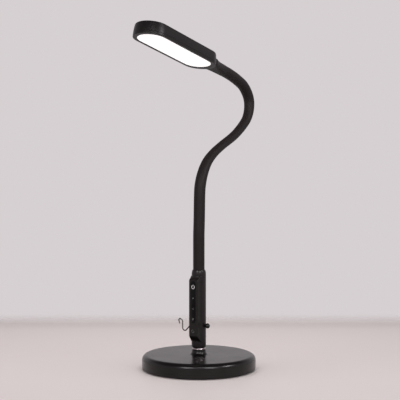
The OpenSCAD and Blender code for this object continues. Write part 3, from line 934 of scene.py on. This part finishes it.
@dataclass
class Grip:
    """Front panel of the grip with its touch strip, marks and key, in millimetres.

    The panel's rings lie close at both ends and far apart in the middle. A larger panel_square gives the panel
    sharper corners. Depths, such as cut_from, are counted forwards from the grip's axis.
    """

    radius: float = 14.65
    wall: float = 1.6
    panel_half: float = 11.3
    panel_face: float = 19.65
    panel_margin: float = 0.5
    panel_low: float = 55.5
    panel_high: float = 187.5
    panel_square: float = 10.0
    panel_blend: float = 5.0
    panel_steps: int = 144
    slope_low: float = 10.0
    slope_high: float = 7.5
    slope_foot: float = 1.0
    slope_blend: float = 2.6
    fine_step: float = 0.5
    fine_low: int = 34
    fine_high: int = 26
    middle_low: float = 80.0
    middle_step: float = 8.0
    middle_count: int = 12
    pocket_gap: float = 1.0
    cut_from: float = 15.0
    cut_to: float = 26.0
    fit: float = 0.1
    strip_width: float = 12.0
    strip_length: float = 85.0
    strip_middle: float = 135.5
    strip_back: float = 18.85
    strip_face: float = 19.85
    strip_bevel: float = 0.3
    ink_sink: float = 0.02
    ink_proud: float = 0.03
    bar_round: float = 0.45
    power_height: float = 166.0
    power_ring: Flat = (2.95, 3.9)
    power_turns: Flat = (122.0, 418.0)
    power_bar: Flat = (1.0, 2.7)
    power_bar_up: float = 3.3
    plus_height: float = 143.5
    minus_height: float = 122.0
    stroke: Flat = (3.2, 0.75)
    arm: Flat = (0.75, 1.2)
    arm_up: float = 1.0
    lamp_height: float = 101.5
    lamp_disc: float = 1.1
    ray: Flat = (0.45, 0.8)
    ray_up: float = 2.1
    ray_count: int = 8
    key_height: float = 77.4
    key_radius: float = 3.7
    key_round: float = 0.5
    key_face: float = 20.55
    key_back: float = 13.98
    key_stem: float = 2.0
    dish: float = 2.6
    dish_depth: float = 0.3
    dish_rise: float = 0.12
    dish_edge: float = 2.9
    dish_edge_drop: float = 0.06
    flange: float = 1.1
    flange_depth: float = 1.0
    flange_gap: float = 0.05
    ring: Flat = (2.7, 3.15)
    ring_round: float = 0.08
    ring_drop: float = 0.02
    ring_sink: float = 0.25

    def panel(self) -> bpy.types.Object:
        """Raised front panel with sloped ends, a recess for the strip and a hole for the key.

        Returns:
            The piece, seated.
        """
        seat_y = math.sqrt(self.radius**2 - (self.panel_half + self.panel_margin)**2)
        foot = seat_y + self.slope_foot
        rise = self.panel_face - foot
        heights = [self.panel_low + self.fine_step*k for k in range(self.fine_low)]
        heights += [self.middle_low + self.middle_step*k for k in range(self.middle_count)]
        heights += [self.panel_high - self.fine_step*k for k in reversed(range(self.fine_high))]
        rings = []
        for z in heights:
            low = foot + rise*(z - self.panel_low)/self.slope_low
            high = foot + rise*(self.panel_high - z)/self.slope_high
            face = soft_min(soft_min(self.panel_face, low, self.slope_blend), high, self.slope_blend)
            rings.append(self.section(face - seat_y, seat_y, z))
        inside = self.panel_half - self.wall
        back, front = self.pocket_gap - seat_y, self.wall - self.panel_face
        pocket = Form().slab([(-inside, back), (inside, back), (inside, front), (-inside, front)],
                             self.panel_low + self.slope_low, self.panel_high - self.slope_high)
        opening = oval(self.strip_length + 2*self.fit, self.strip_width + 2*self.fit)
        recess = Form(Axis.FRONT.at(self.strip_middle)).slab(opening, self.strip_back, self.cut_to)
        bore = self.key_radius + self.fit
        hole = Form(Axis.FRONT.at(self.key_height))
        hole.turned([(bore, self.cut_from), (bore, self.cut_to)], 64, False)
        made = Form().loft(rings).piece("panel_shell", Paints.PANEL, (pocket, recess, hole))
        return seat(made, Body.STAND, "black_plastic", "panel_cover")

    def section(self, proud: float, seat_y: float, height: float) -> list[Vector]:
        """Section of the panel: part of the round grip, joined to a bar with rounded corners.

        Args:
            proud: How far the bar stands in front of its seat.
            seat_y: How far the seat lies in front of the grip's axis.
            height: Height of the section.

        Returns:
            The section's points.
        """
        points = []
        power = self.panel_square
        for k in range(self.panel_steps + 1):
            a = math.pi*k/self.panel_steps
            across, out = math.cos(a), math.sin(a)
            lean = seat_y*out
            reach = math.sqrt(lean*lean + self.radius**2 - seat_y*seat_y) - lean
            if 0 < k < self.panel_steps:
                bar = (abs(across/self.panel_half)**power + abs(out/proud)**power)**(-1/power)
                reach = soft_max(reach, bar, self.panel_blend)
            points.append(Vector((reach*across, -seat_y - reach*out, height)))
        return points

    def glass(self) -> bpy.types.Object:
        """Polished touch strip with rounded ends.

        Returns:
            The piece, seated.
        """
        outline = oval(self.strip_length, self.strip_width)
        form = Form(Axis.FRONT.at(self.strip_middle))
        form.slab(outline, self.strip_back, self.strip_face, self.strip_bevel)
        return seat(form.piece("touch_glass", Paints.TOUCH), Body.STAND, "gloss_black", "touch_strip")

    def ink(self, form: Form, height: float, outline: Sequence[Flat]) -> None:
        """Adds a thin printed shape to a form, round a height on the strip."""
        form.place = Axis.FRONT.at(height)
        form.slab(outline, self.strip_face - self.ink_sink, self.strip_face + self.ink_proud)

    def bar(self, size: Flat, up: float = 0.0, turn: float = 0.0) -> list[Flat]:
        """Outline of a printed bar with rounded corners.

        Args:
            size: Size across and along.
            up: How far its middle lies over the sign's middle.
            turn: Turn in degrees round the sign's middle.

        Returns:
            The bar's points.
        """
        c, s = math.cos(math.radians(turn)), math.sin(math.radians(turn))
        flat = block(*size, min(size)*self.bar_round, 4)
        return [(c*x - s*(y + up), s*x + c*(y + up)) for x, y in flat]

    def marks(self) -> list[bpy.types.Object]:
        """Plain signs for power, brighter, dimmer and light colour.

        Returns:
            The bright sign and the faint ones, seated.
        """
        bright, faint = Form(), Form()
        inner, outer = self.power_ring
        first, last = self.power_turns
        loop = arc((0, 0), outer, first, last, 48) + arc((0, 0), inner, last, first, 48)
        self.ink(bright, self.power_height, loop)
        self.ink(bright, self.power_height, self.bar(self.power_bar, self.power_bar_up))
        for height in (self.plus_height, self.minus_height):
            self.ink(faint, height, self.bar(self.stroke))
        for turn in (0, 180):
            self.ink(faint, self.plus_height, self.bar(self.arm, self.arm_up, turn))
        self.ink(faint, self.lamp_height, arc((0, 0), self.lamp_disc, 0, 345, 23))
        for k in range(self.ray_count):
            self.ink(faint, self.lamp_height, self.bar(self.ray, self.ray_up, 360*k/self.ray_count))
        # The signs glow with the inks' painted glow, though they are no lamp.
        pieces = [bright.piece("power_sign", Paints.INK), faint.piece("touch_signs", Paints.FAINT_INK)]
        return [seat(piece, Body.STAND, "white_film") for piece in pieces]

    def key(self) -> list[bpy.types.Object]:
        """Push key with a dished face, a flange behind the panel, and the ring on its face.

        Returns:
            The key and its ring, seated.
        """
        face, radius, edge = self.key_face, self.key_radius, self.key_round
        dish, behind = face - self.dish_depth, self.panel_face - self.wall - self.flange_gap
        outer, back = radius + self.flange, behind - self.flange_depth
        outline = [(AXLE, dish)]
        outline += [(self.dish*k/6, dish + self.dish_rise*(k/6)**2) for k in range(1, 7)]
        outline += [(self.dish_edge, face - self.dish_edge_drop)]
        outline += arc((radius - edge, face - edge), edge, 90, 0, 6)
        outline += [(radius, behind), (outer, behind), (outer, back), (self.key_stem, back),
                    (self.key_stem, self.key_back), (AXLE, self.key_back)]
        place = Axis.FRONT.at(self.key_height)
        cap = Form(place).turned(outline, 64, False).piece("power_key", Paints.KEY)
        low, high = self.ring
        deep, near = face - self.ring_sink, face - self.ring_drop
        rim = rounded([(low, deep, 0), (low, near, self.ring_round), (high, near, self.ring_round),
                       (high, deep, 0)], 4)
        # The ring is printed in the faint ink, whose painted glow lights it though it is no lamp.
        ring = Form(place).turned(rim, 64).piece("key_ring", Paints.FAINT_INK)
        return [seat(cap, Body.BUTTON, "dark_key", "power_button"), seat(ring, Body.BUTTON, "white_film")]

    def build(self) -> list[bpy.types.Object]:
        """All pieces of the grip's front."""
        return [self.panel(), self.glass(), *self.marks(), *self.key()]


@dataclass
class Hook:
    """Bent wire hook on one side of the grip, held by a ball knob on the other, in millimetres and degrees."""

    height: float = 87.5
    grip: float = 14.65
    wire: float = 1.2
    wire_past: float = 1.0
    out: float = 2.9
    first_bend: float = 4.0
    dip_turn: float = 45.0
    dip_run: float = 16.0
    dip_bend: float = 5.6
    rise: float = 13.2
    shoulder_bend: float = 2.2
    shoulder_turn: float = 62.0
    crest_run: float = 4.6
    crest_bend: float = 3.1
    crest_turn: float = 138.0
    tip: float = 5.2
    tip_shares: tuple[float, ...] = (0.35, 0.6, 0.8, 0.93, 0.995)
    turn_step: float = 7.0
    play: float = 0.3
    stop: float = 3.2
    stop_bore: float = 0.9
    stop_width: float = 1.6
    stop_round: float = 0.5
    stop_round_in: float = 0.3
    knob_out: float = 6.8
    knob: float = 5.1
    knob_bevel: float = 0.4
    knob_bore_gap: float = 0.1
    knob_bore_past: float = 1.3

    def trail(self) -> list[Stop]:
        """Line of the wire from the knob to the tip.

        Returns:
            The line as (point, direction, radius).
        """
        spot = Vector((self.grip + self.knob_out + self.wire_past, 0, self.height))
        heading = 180.0
        stops: list[Stop] = []
        legs = [(spot.x + self.grip + self.out, 0.0), (self.first_bend, self.dip_turn), (self.dip_run, 0.0),
                (self.dip_bend, -self.dip_turn - 90), (self.rise, 0.0),
                (self.shoulder_bend, self.shoulder_turn), (self.crest_run, 0.0),
                (self.crest_bend, self.crest_turn), (self.tip, 0.0)]
        for size, turn in legs:
            steps = max(2, round(abs(turn)/self.turn_step))
            stops += [self.stop_at(spot, heading, size, turn, k/steps) for k in range(steps)]
            end = self.stop_at(spot, heading, size, turn, 1.0)
            spot, ahead = end[:2]
            heading += turn
        stops.append(end)
        for share in self.tip_shares:
            stops.append((spot + ahead*self.wire*share, ahead, self.wire*math.sqrt(1 - share*share)))
        return stops

    def stop_at(self, spot: Vector, heading: float, size: float, turn: float, share: float) -> Stop:
        """Point part of the way along one leg of the wire.

        Args:
            spot: Start of the leg.
            heading: Direction at its start, in degrees from +X towards +Z.
            size: Length of a straight leg, or radius of a bend.
            turn: Turn of a bend in degrees, 0 for a straight leg.
            share: Share of the leg.

        Returns:
            Point, direction and radius there.
        """
        now = math.radians(heading + turn*share)
        ahead = Vector((math.cos(now), 0, math.sin(now)))
        if turn == 0:
            return spot + ahead*size*share, ahead, self.wire
        left = math.copysign(size, turn)
        was = math.radians(heading)
        step = Vector((math.sin(now) - math.sin(was), 0, math.cos(was) - math.cos(now)))
        return spot + step*left, ahead, self.wire

    def bent_wire(self) -> bpy.types.Object:
        """Wire from the knob to the tip, with its stop against the grip.

        Returns:
            The piece, seated.
        """
        form = Form().swept(self.trail(), Vector((0, 1, 0)), 20)
        form.place = Axis.SIDE.at(self.height)
        near = -self.grip - self.play
        far = near - self.stop_width
        form.turned(rounded([(self.stop_bore, far, 0), (self.stop, far, self.stop_round),
                             (self.stop, near, self.stop_round_in), (self.stop_bore, near, 0)]), 40)
        return seat(form.piece("hook_wire", Paints.WIRE), Body.HOOK, "chrome", "hook")

    def ball(self) -> bpy.types.Object:
        """Turned ball knob on its stem.

        Returns:
            The piece, seated.
        """
        low, middle = self.grip + self.play, self.grip + self.knob_out
        bore, deep = self.wire + self.knob_bore_gap, middle + self.knob_bore_past
        neck = math.degrees(math.asin(self.stop/self.knob))
        outline = [(bore, low), (self.stop - self.knob_bevel, low), (self.stop, low + self.knob_bevel)]
        outline += [(r, h) for r, h in arc((0, middle), self.knob, neck - 90, 90, 30) if r > bore]
        outline += [(AXLE, middle + self.knob), (AXLE, deep), (bore, deep)]
        form = Form(Axis.SIDE.at(self.height)).turned(outline, 48)
        return seat(form.piece("ball_knob", Paints.KNOB), Body.KNOB, "gloss_black", "hook_knob")

    def build(self) -> list[bpy.types.Object]:
        """All pieces of the hook."""
        return [self.bent_wire(), self.ball()]


@dataclass
class Neck:
    """Smooth sleeve of the gooseneck, in lengths that each span one of its joints.

    Lengths and radii are in millimetres, turns in degrees. What thins, swells or sways is placed by a count of
    sections from the grip, and so is the lip, which keeps each end of a length of sleeve crisp.
    """

    foot_height: float = 200.0
    rise: float = 160.0
    rise_turn: float = 6.5
    lower_radius: float = 110.5
    lower_turn: float = 56.0
    run: float = 131.0
    run_turn: float = 14.5
    upper_radius: float = 49.0
    upper_turn: float = 118.0
    last_radius: float = 420.0
    last_turn: float = 10.0
    foot: float = 11.65
    waist: float = 9.3
    top: float = 11.75
    thin_from: float = 3.15
    thin_over: float = 3.4
    swell_from: float = 6.2
    swell_over: float = 4.1
    step: float = 2.5
    fewest_steps: int = 4
    lip: float = 0.002
    sways: tuple[Triple, ...] = (
        (2.2, 1.0, 1.6), (5.6, 0.9, 1.1), (6.95, 0.6, 0.7), (8.55, 1.2, -1.25), (10.45, 1.05, -1.7))

    def sections(self) -> list[Flat]:
        """Rigid sections of the neck.

        Returns:
            Length and turn of each, from the grip to the head.
        """
        lower = self.lower_radius*math.radians(self.lower_turn)/3
        upper = self.upper_radius*math.radians(self.upper_turn)/3
        return ([(self.rise/3, turn) for turn in (0.0, 0.0, self.rise_turn)] + [(lower, self.lower_turn/3)]*3
                + [(self.run/2, turn) for turn in (0.0, -self.run_turn)] + [(upper, -self.upper_turn/3)]*3
                + [(self.last_radius*math.radians(self.last_turn), -self.last_turn)])

    def on(self, section: int, share: float) -> tuple[Vector, Vector]:
        """Point and direction part of the way along a section.

        Args:
            section: Count of whole sections before it.
            share: Share of its own length.

        Returns:
            Point and direction in the lamp's frame.
        """
        spot, heading = Vector((0, 0, self.foot_height)), 0.0
        for k, (length, turn) in enumerate(self.sections()[:section + 1]):
            part = share if k == section else 1.0
            a, b = math.radians(heading), math.radians(heading + turn*part)
            if turn == 0:
                spot = spot + Vector((0, math.sin(a), math.cos(a)))*length*part
            else:
                bend = length/math.radians(turn)
                spot = spot + Vector((0, math.cos(a) - math.cos(b), math.sin(b) - math.sin(a)))*bend
            heading += turn*part
        b = math.radians(heading)
        return spot, Vector((0, math.sin(b), math.cos(b)))

    def girth(self, along: float) -> float:
        """Radius of the sleeve at a count of sections from the grip."""
        thinned = (self.waist - self.foot)*ease((along - self.thin_from)/self.thin_over)
        return self.foot + thinned + (self.top - self.waist)*ease((along - self.swell_from)/self.swell_over)

    def drape(self, along: float, ahead: Vector) -> Vector:
        """Shift of the sleeve off the line of arcs, so that its bends run into each other.

        Args:
            along: Count of sections from the grip.
            ahead: Direction of the neck there.

        Returns:
            The sum of the sways, each given by its middle and its reach in sections, and its size in
            millimetres away from the head's side.
        """
        size = 0.0
        for middle, reach, shift in self.sways:
            size += shift*max(0.0, 1 - ((along - middle)/reach)**2)**2
        return Vector((0, ahead.z, -ahead.y))*size

    def skin(self, joint: int) -> bpy.types.Object:
        """One length of sleeve, from the middle of a section to the middle of the next.

        Args:
            joint: Number of the joint that it spans, from 1.

        Returns:
            The piece, spanning that joint.
        """
        sections = self.sections()
        last = len(sections) - 1
        low = 0.0 if joint == 1 else joint - 0.5
        high = last + 1.0 if joint == last else joint + 0.5
        lengths = [sections[joint - 1][0]*(joint - low), sections[joint][0]*(high - joint)]
        below, above = (max(self.fewest_steps, round(length/self.step)) for length in lengths)
        marks = [low, low + self.lip] + [low + (joint - low)*k/below for k in range(1, below)]
        marks += [joint + (high - joint)*k/above for k in range(above)] + [high - self.lip, high]
        stops = []
        for along in marks:
            section = min(int(along), last)
            spot, ahead = self.on(section, along - section)
            stops.append((spot + self.drape(along, ahead), ahead, self.girth(along)))
        made = Form().swept(stops, Vector((1, 0, 0)), 48).piece(f"neck_skin_{joint}", Paints.NECK)
        bodies = [Body.STAND.value, *(f"neck_{k}" for k in range(2, len(sections))), Body.HEAD.value]
        bodies[joint - 1]
        self.on(joint - 1, 0.5)[0]*MM
        self.on(joint, 0.5)[0]*MM
        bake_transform(made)
        nodes = [f"neck_sleeve_{joint}", f"neck_core_{joint}"]
        if joint == last:
            nodes += [f"neck_sleeve_{joint + 1}", f"neck_core_{joint + 1}"]
        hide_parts(*nodes)
        return made

    def end(self) -> tuple[Vector, Vector]:
        """Point and direction at the head's end of the neck."""
        return self.on(len(self.sections()) - 1, 1.0)

    def build(self) -> list[bpy.types.Object]:
        """All lengths of sleeve."""
        return [self.skin(joint) for joint in range(1, len(self.sections()))]


@dataclass
class Head:
    """Flat light head with round ends, and the tail that joins it to the neck, in millimetres."""

    neck_end: Vector
    neck_ahead: Vector
    length: float = 225.0
    width: float = 71.7
    depth: float = 25.0
    nose: float = 0.65
    draft: float = 2.2
    barrel: float = 0.8
    girdle: float = 13.0
    top_round: float = 3.0
    top_insets: tuple[float, ...] = (8.0, 16.0, 24.0)
    seam: float = 5.0
    seam_bevel: float = 0.3
    frame_lap: float = 3.0
    frame_round: float = 0.6
    frame_lip: tuple[Flat, ...] = ((-0.4, 0.0), (-0.2, 0.05), (-0.05, 0.2), (0.0, 0.4), (0.0, 3.0))
    frame_back: float = -2.0
    light_end: float = 12.0
    light_side: float = 6.6
    light_shift: float = 2.1
    light_gap: float = 0.1
    light_dome: tuple[Flat, ...] = (
        (0.0, 2.4), (0.0, 0.75), (0.15, 0.6), (0.5, 0.5), (4.0, 0.45), (10.0, 0.42), (20.0, 0.4))
    axis: float = 12.5
    tail: float = 51.0
    tail_round: float = 12.0
    tail_width: float = 44.0
    tail_depth: float = 17.0
    tail_corner: float = 7.0
    tail_corner_gap: float = 0.02
    tail_past: Flat = (1.1, 1.24)
    tail_lip: float = 0.955
    tail_lip_depth: float = 0.5

    def place(self) -> Matrix:
        """Frame of the head.

        Returns:
            The frame, with the underside at z = 0, the tip at -Y and the neck's axis at its own height.
        """
        along = -self.neck_ahead
        up = Vector((1, 0, 0)).cross(along)
        spot = self.neck_end + self.neck_ahead*(self.length/2 + self.tail) - up*self.axis
        turn = Matrix((Vector((1, 0, 0)), along, up)).transposed().to_4x4()
        return Matrix.Translation(spot) @ turn

    def rings(self, steps: Sequence[Flat], size: Flat, shift: float) -> list[list[Vector]]:
        """Rings of an outline with round ends.

        Args:
            steps: Each ring's (inset, height).
            size: Length and width of the outline with no inset.
            shift: How far its middle lies towards the tip.

        Returns:
            The rings in order.
        """
        length, width = size
        return [lifted(oval(length - 2*inset, width - 2*inset), height, -shift) for inset, height in steps]

    def wall(self, height: float) -> float:
        """Inset of the side wall at a height: it leans in towards the top, and is slightly barrelled."""
        return self.draft*height/self.depth + self.barrel*((height - self.girdle)/self.girdle)**2

    def outer(self, steps: Sequence[Flat]) -> list[list[Vector]]:
        """Rings of the head's own outline, each given by its (inset, height)."""
        return self.rings(steps, (self.length + self.nose, self.width), self.nose/2)

    def sides(self, first: float, last: float, count: int, bend: Sequence[Flat]) -> list[list[Vector]]:
        """Rings of the side wall from the seam, with a rounded edge at its end.

        Args:
            first: Height of the seam's bevel.
            last: Height where the rounded edge starts.
            count: Count of steps between the two.
            bend: Points of the rounded edge as (reach, height).

        Returns:
            The rings in order.
        """
        steps = [(self.wall(self.seam) + self.seam_bevel, self.seam)]
        for k in range(count + 1):
            height = first + (last - first)*k/count
            steps.append((self.wall(height), height))
        steps += [(self.wall(last) + bend[0][0] - reach, height) for reach, height in bend[1:]]
        return self.outer(steps)

    def shell(self) -> bpy.types.Object:
        """Housing with a rounded top edge and a fine chamfer at its seam.

        Returns:
            The piece, seated.
        """
        edge, high = self.top_round, self.depth - self.top_round
        rings = self.sides(self.seam + self.seam_bevel, high, 8, arc((0, high), edge, 0, 90, 10))
        rings += self.outer([(inset, self.depth) for inset in self.top_insets])
        made = Form(self.place()).loft(rings).piece("head_shell", Paints.HEAD)
        return seat(made, Body.HEAD, "black_plastic", "head_housing")

    def light_size(self) -> Flat:
        """Length and width of the opening for the light panel."""
        return self.length - 2*self.light_end, self.width - 2*self.light_side

    def rim(self) -> bpy.types.Object:
        """Underside frame round the light panel.

        Returns:
            The piece, seated.
        """
        edge = self.frame_round
        rings = self.outer([(self.frame_lap, self.seam)])
        rings += self.sides(self.seam - self.seam_bevel, edge, 4, arc((0, edge), edge, 0, -90, 6))
        lip = [*self.frame_lip, (self.frame_back, self.seam)]
        rings += self.rings(lip, self.light_size(), self.light_shift)
        made = Form(self.place()).loft(rings, True).piece("head_frame", Paints.HEAD)
        return seat(made, Body.HEAD, "black_plastic", "head_bezel")

    def light(self) -> bpy.types.Object:
        """Glowing panel, very slightly domed, sunk a little in its frame.

        Returns:
            The piece, seated.
        """
        length, width = (size - 2*self.light_gap for size in self.light_size())
        rings = self.rings(self.light_dome, (length, width), self.light_shift)
        made = Form(self.place()).loft(rings).piece("light_panel", Paints.GLOW)
        return seat(made, Body.HEAD, "opal", "diffuser")

    def flare(self) -> bpy.types.Object:
        """Tail that flares from the round neck to the flat head.

        Returns:
            The piece, seated.
        """
        start, across = self.length/2 + self.tail, 2*self.tail_round
        rings = []
        for share in [*(k/24 for k in range(25)), *self.tail_past]:
            t = min(share, 1.0)
            wide = across + (self.tail_width - across)*t*t
            tall = across + (self.tail_depth - across)*ease(t)
            corner = min(self.tail_round + (self.tail_corner - self.tail_round)*t,
                         min(wide, tall)/2 - self.tail_corner_gap)
            shape = block(wide, tall, corner, 12)
            rings.append([Vector((x, start - self.tail*share, self.axis + y)) for x, y in shape])
        lip = []
        for point in rings[0]:
            up = (point.z - self.axis)*self.tail_lip
            lip.append(Vector((point.x*self.tail_lip, point.y, self.axis + up)))
            point.y -= self.tail_lip_depth
        made = Form(self.place()).loft([lip, *rings]).piece("tail_flare", Paints.TAIL_PAINTED_LIGHTER)
        return seat(made, Body.HEAD, "black_plastic", "head_tail")

    def build(self) -> list[bpy.types.Object]:
        """All pieces of the head."""
        return [self.shell(), self.rim(), self.light(), self.flare()]


@dataclass
class Innards:
    """Nodes that keep their own shape and only get a finish."""

    crease: float = 30.0
    finishes: dict[Finish, tuple[str, ...]] = field(default_factory=lambda: {
        Paints.PAD: ("foot_pad",),
        Paints.STEEL: ("base_plate", "base_screws", "base_stud", "stud_washer", "stud_nut", "touch_springs",
                       "grub_screw", "tail_nut", "head_screws"),
        Paints.IRON: ("base_weight",),
        Paints.GRIP: ("handle_shell", "power_inlet"),
        Paints.KEY: ("tact_switch",),
        Paints.CREAM: ("switch_plunger",),
        Paints.MASK: ("control_board",),
        Paints.BRASS: ("pole_insert",),
        Paints.ALUMINIUM: ("neck_ferrule", "heat_plate"),
        Paints.CLEAR: ("light_guide",),
        Paints.FILM: ("reflector", "led_strips"),
        Paints.PHOSPHOR: ("leds",)})

    def build(self) -> list[bpy.types.Object]:
        """Gives each node its finish and smooth faces.

        Returns:
            The nodes.
        """
        dressed = []
        for finish, names in self.finishes.items():
            for node in (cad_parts[name] for name in names):
                dress(node.data, finish, self.crease)
                dressed.append(node)
        return dressed


@dataclass(frozen=True)
class StudioFloor(Finish):
    """Pale sheet with painted shade that darkens it further from the camera, fading into the backdrop's light,
    soonest behind the lamp.
    """

    gloss: float = 0.4
    clear_from: float = 0.5
    clear_to: float = 0.84
    painted_shade_from: float = -0.12
    painted_shade_to: float = 0.26
    painted_shade_share: float = 0.75
    painted_shade_step: float = -0.06
    border_from: float = 0.85
    border_to: float = 1.3
    cloud: float = 9.0
    cloud_share: float = 0.1
    cloud_swing: float = 0.05

    def mix(self, recipe: Recipe) -> None:
        """Fills the recipe of this finish.

        Args:
            recipe: Recipe to fill.
        """
        away = recipe.part(recipe.place, "Y")
        reach = recipe.node("ShaderNodeVectorMath", {"operation": "LENGTH"}, {0: recipe.place}, "Value")
        behind = recipe.band(away, self.clear_from, self.clear_to)
        cloud = recipe.noise(self.cloud, 3.0)
        # Painted shade: the floor is made darker further from the camera, plus a random cloud of tone.
        shade = recipe.band(away, self.painted_shade_from, self.painted_shade_to)*self.painted_shade_share + cloud*self.cloud_share
        recipe.set({
            "Base Color": recipe.tint(shade, self.colour, self.lighter(self.painted_shade_step)),
            "Roughness": self.roughness + recipe.swing(cloud, self.cloud_swing),
            "Specular IOR Level": self.gloss,
            "Alpha": (1 - behind)*(1 - recipe.band(reach, self.border_from, self.border_to))})


@dataclass(frozen=True)
class Softbox:
    """Soft rectangular light, with its place as (towards the camera, to its right, up) in metres."""

    name: str
    place: Triple
    aim: Aim
    size: Flat
    power: float
    role: Role = Role.SHEEN
    colour: Colour = (1.0, 0.975, 0.97)

    def hang(self, spot: Vector) -> bpy.types.Object:
        """Makes the light.

        Args:
            spot: Its place in the lamp's frame.

        Returns:
            The light, turned to what it faces.
        """
        lamp = bpy.data.lights.new(self.name, "AREA")
        lamp.shape = "RECTANGLE"
        lamp.size, lamp.size_y = self.size
        lamp.energy = self.power
        lamp.color = self.colour
        made = bpy.data.objects.new(self.name, lamp)
        made.location = spot
        made.rotation_euler = (Vector(self.aim.value) - spot).to_track_quat("-Z", "Y").to_euler()
        made.visible_glossy = self.role is Role.SHEEN
        made.visible_diffuse = self.role is Role.FILL
        bpy.context.scene.collection.objects.link(made)
        return made


@dataclass
class Studio:
    """Floor in millimetres, and soft light and camera in metres."""

    backdrop: Colour = (0.672, 0.63, 0.644)
    overhead: Colour = (0.13, 0.125, 0.128)
    even_to: float = 0.3
    dark_from: float = 0.75
    floor: StudioFloor = StudioFloor("studio_floor", (0.76, 0.7, 0.69), 0.5)
    floor_reach: float = 1400.0
    floor_hole: float = 0.5
    floor_drop: float = 0.02
    floor_depth: float = 3.0
    azimuth: float = 36.0
    distance: float = 1.7
    eye: float = 0.341
    sidestep: float = 0.00237
    lens: float = 75.42
    sensor: float = 36.0
    nearest: float = 0.01
    lights: tuple[Softbox, ...] = (
        Softbox("top", (-0.05, 0.0, 1.5), Aim.STAND, (2.0, 0.7), 21.0, Role.FILL),
        Softbox("left", (1.05, -0.47, 0.72), Aim.STAND, (0.42, 0.3), 6.0),
        Softbox("right", (1.05, 0.47, 0.72), Aim.STAND, (0.42, 0.3), 6.0),
        Softbox("front", (1.76, 0.2, 1.53), Aim.HEAD, (0.4, 0.3), 3.64),
        Softbox("side", (0.7, 1.5, 1.2), Aim.HEAD, (0.4, 0.4), 14.0))

    def compass(self, towards: float, right: float, height: float) -> Vector:
        """Point given by its distance towards the camera, to the camera's right, and up."""
        c, s = math.cos(math.radians(self.azimuth)), math.sin(math.radians(self.azimuth))
        return Vector((s*towards + c*right, -c*towards + s*right, height))

    def ground(self) -> bpy.types.Object:
        """Round floor sheet, turned so that its own Y runs away from the camera.

        Returns:
            The floor.
        """
        reach, hole, top, under = self.floor_reach, self.floor_hole, -self.floor_drop, -self.floor_depth
        outline = [(hole, top), (reach/2, top), (reach, top), (reach, under), (hole, under)]
        made = Form().turned(outline, 96, False).piece("floor", self.floor)
        made.rotation_euler.z = math.radians(self.azimuth)
        return made

    def air(self) -> None:
        """Backdrop light: even up to a low height, darker overhead."""
        world = bpy.data.worlds.new("studio")
        bpy.context.scene.world = world
        world.use_nodes = True
        tree = Tree(world.node_tree)
        height = tree.part(tree.node("ShaderNodeTexCoord", None, None, "Generated"), "Z")
        colour = tree.tint(tree.band(height, self.even_to, self.dark_from), self.backdrop, self.overhead)
        light = tree.node("ShaderNodeBackground", None, {"Color": colour, "Strength": 1.0})
        tree.node("ShaderNodeOutputWorld", None, {"Surface": light})

    def camera(self) -> bpy.types.Object:
        """Level camera at the photograph's angle.

        Returns:
            The camera, in use.
        """
        view = bpy.data.cameras.new("camera")
        view.lens = self.lens
        view.sensor_width = self.sensor
        view.sensor_fit = "HORIZONTAL"
        view.clip_start = self.nearest
        made = bpy.data.objects.new("camera", view)
        made.location = self.compass(self.distance, self.sidestep, self.eye)
        made.rotation_euler = (math.radians(90), 0, math.radians(self.azimuth))
        bpy.context.scene.collection.objects.link(made)
        bpy.context.scene.camera = made
        return made

    def build(self) -> list[bpy.types.Object]:
        """Everything round the lamp.

        Returns:
            The camera, the floor and the lights.
        """
        self.air()
        bpy.context.scene.view_settings.view_transform = "Standard"
        return [self.camera(), self.ground(),
                *(light.hang(self.compass(*light.place)) for light in self.lights)]


def main() -> None:
    """Builds every sub-assembly in order and logs each piece's name."""
    logging.basicConfig(level=logging.INFO, format="%(name)s: %(message)s")
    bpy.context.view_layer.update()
    neck = Neck()
    parts = [Studio(), Innards(), Base(), Grip(), Hook(), neck, Head(*neck.end())]
    for part in parts:
        for piece in part.build():
            LOG.info("%s: %s", type(part).__name__, piece.name)
    bpy.context.view_layer.update()


if __name__ == "__main__":
    main()
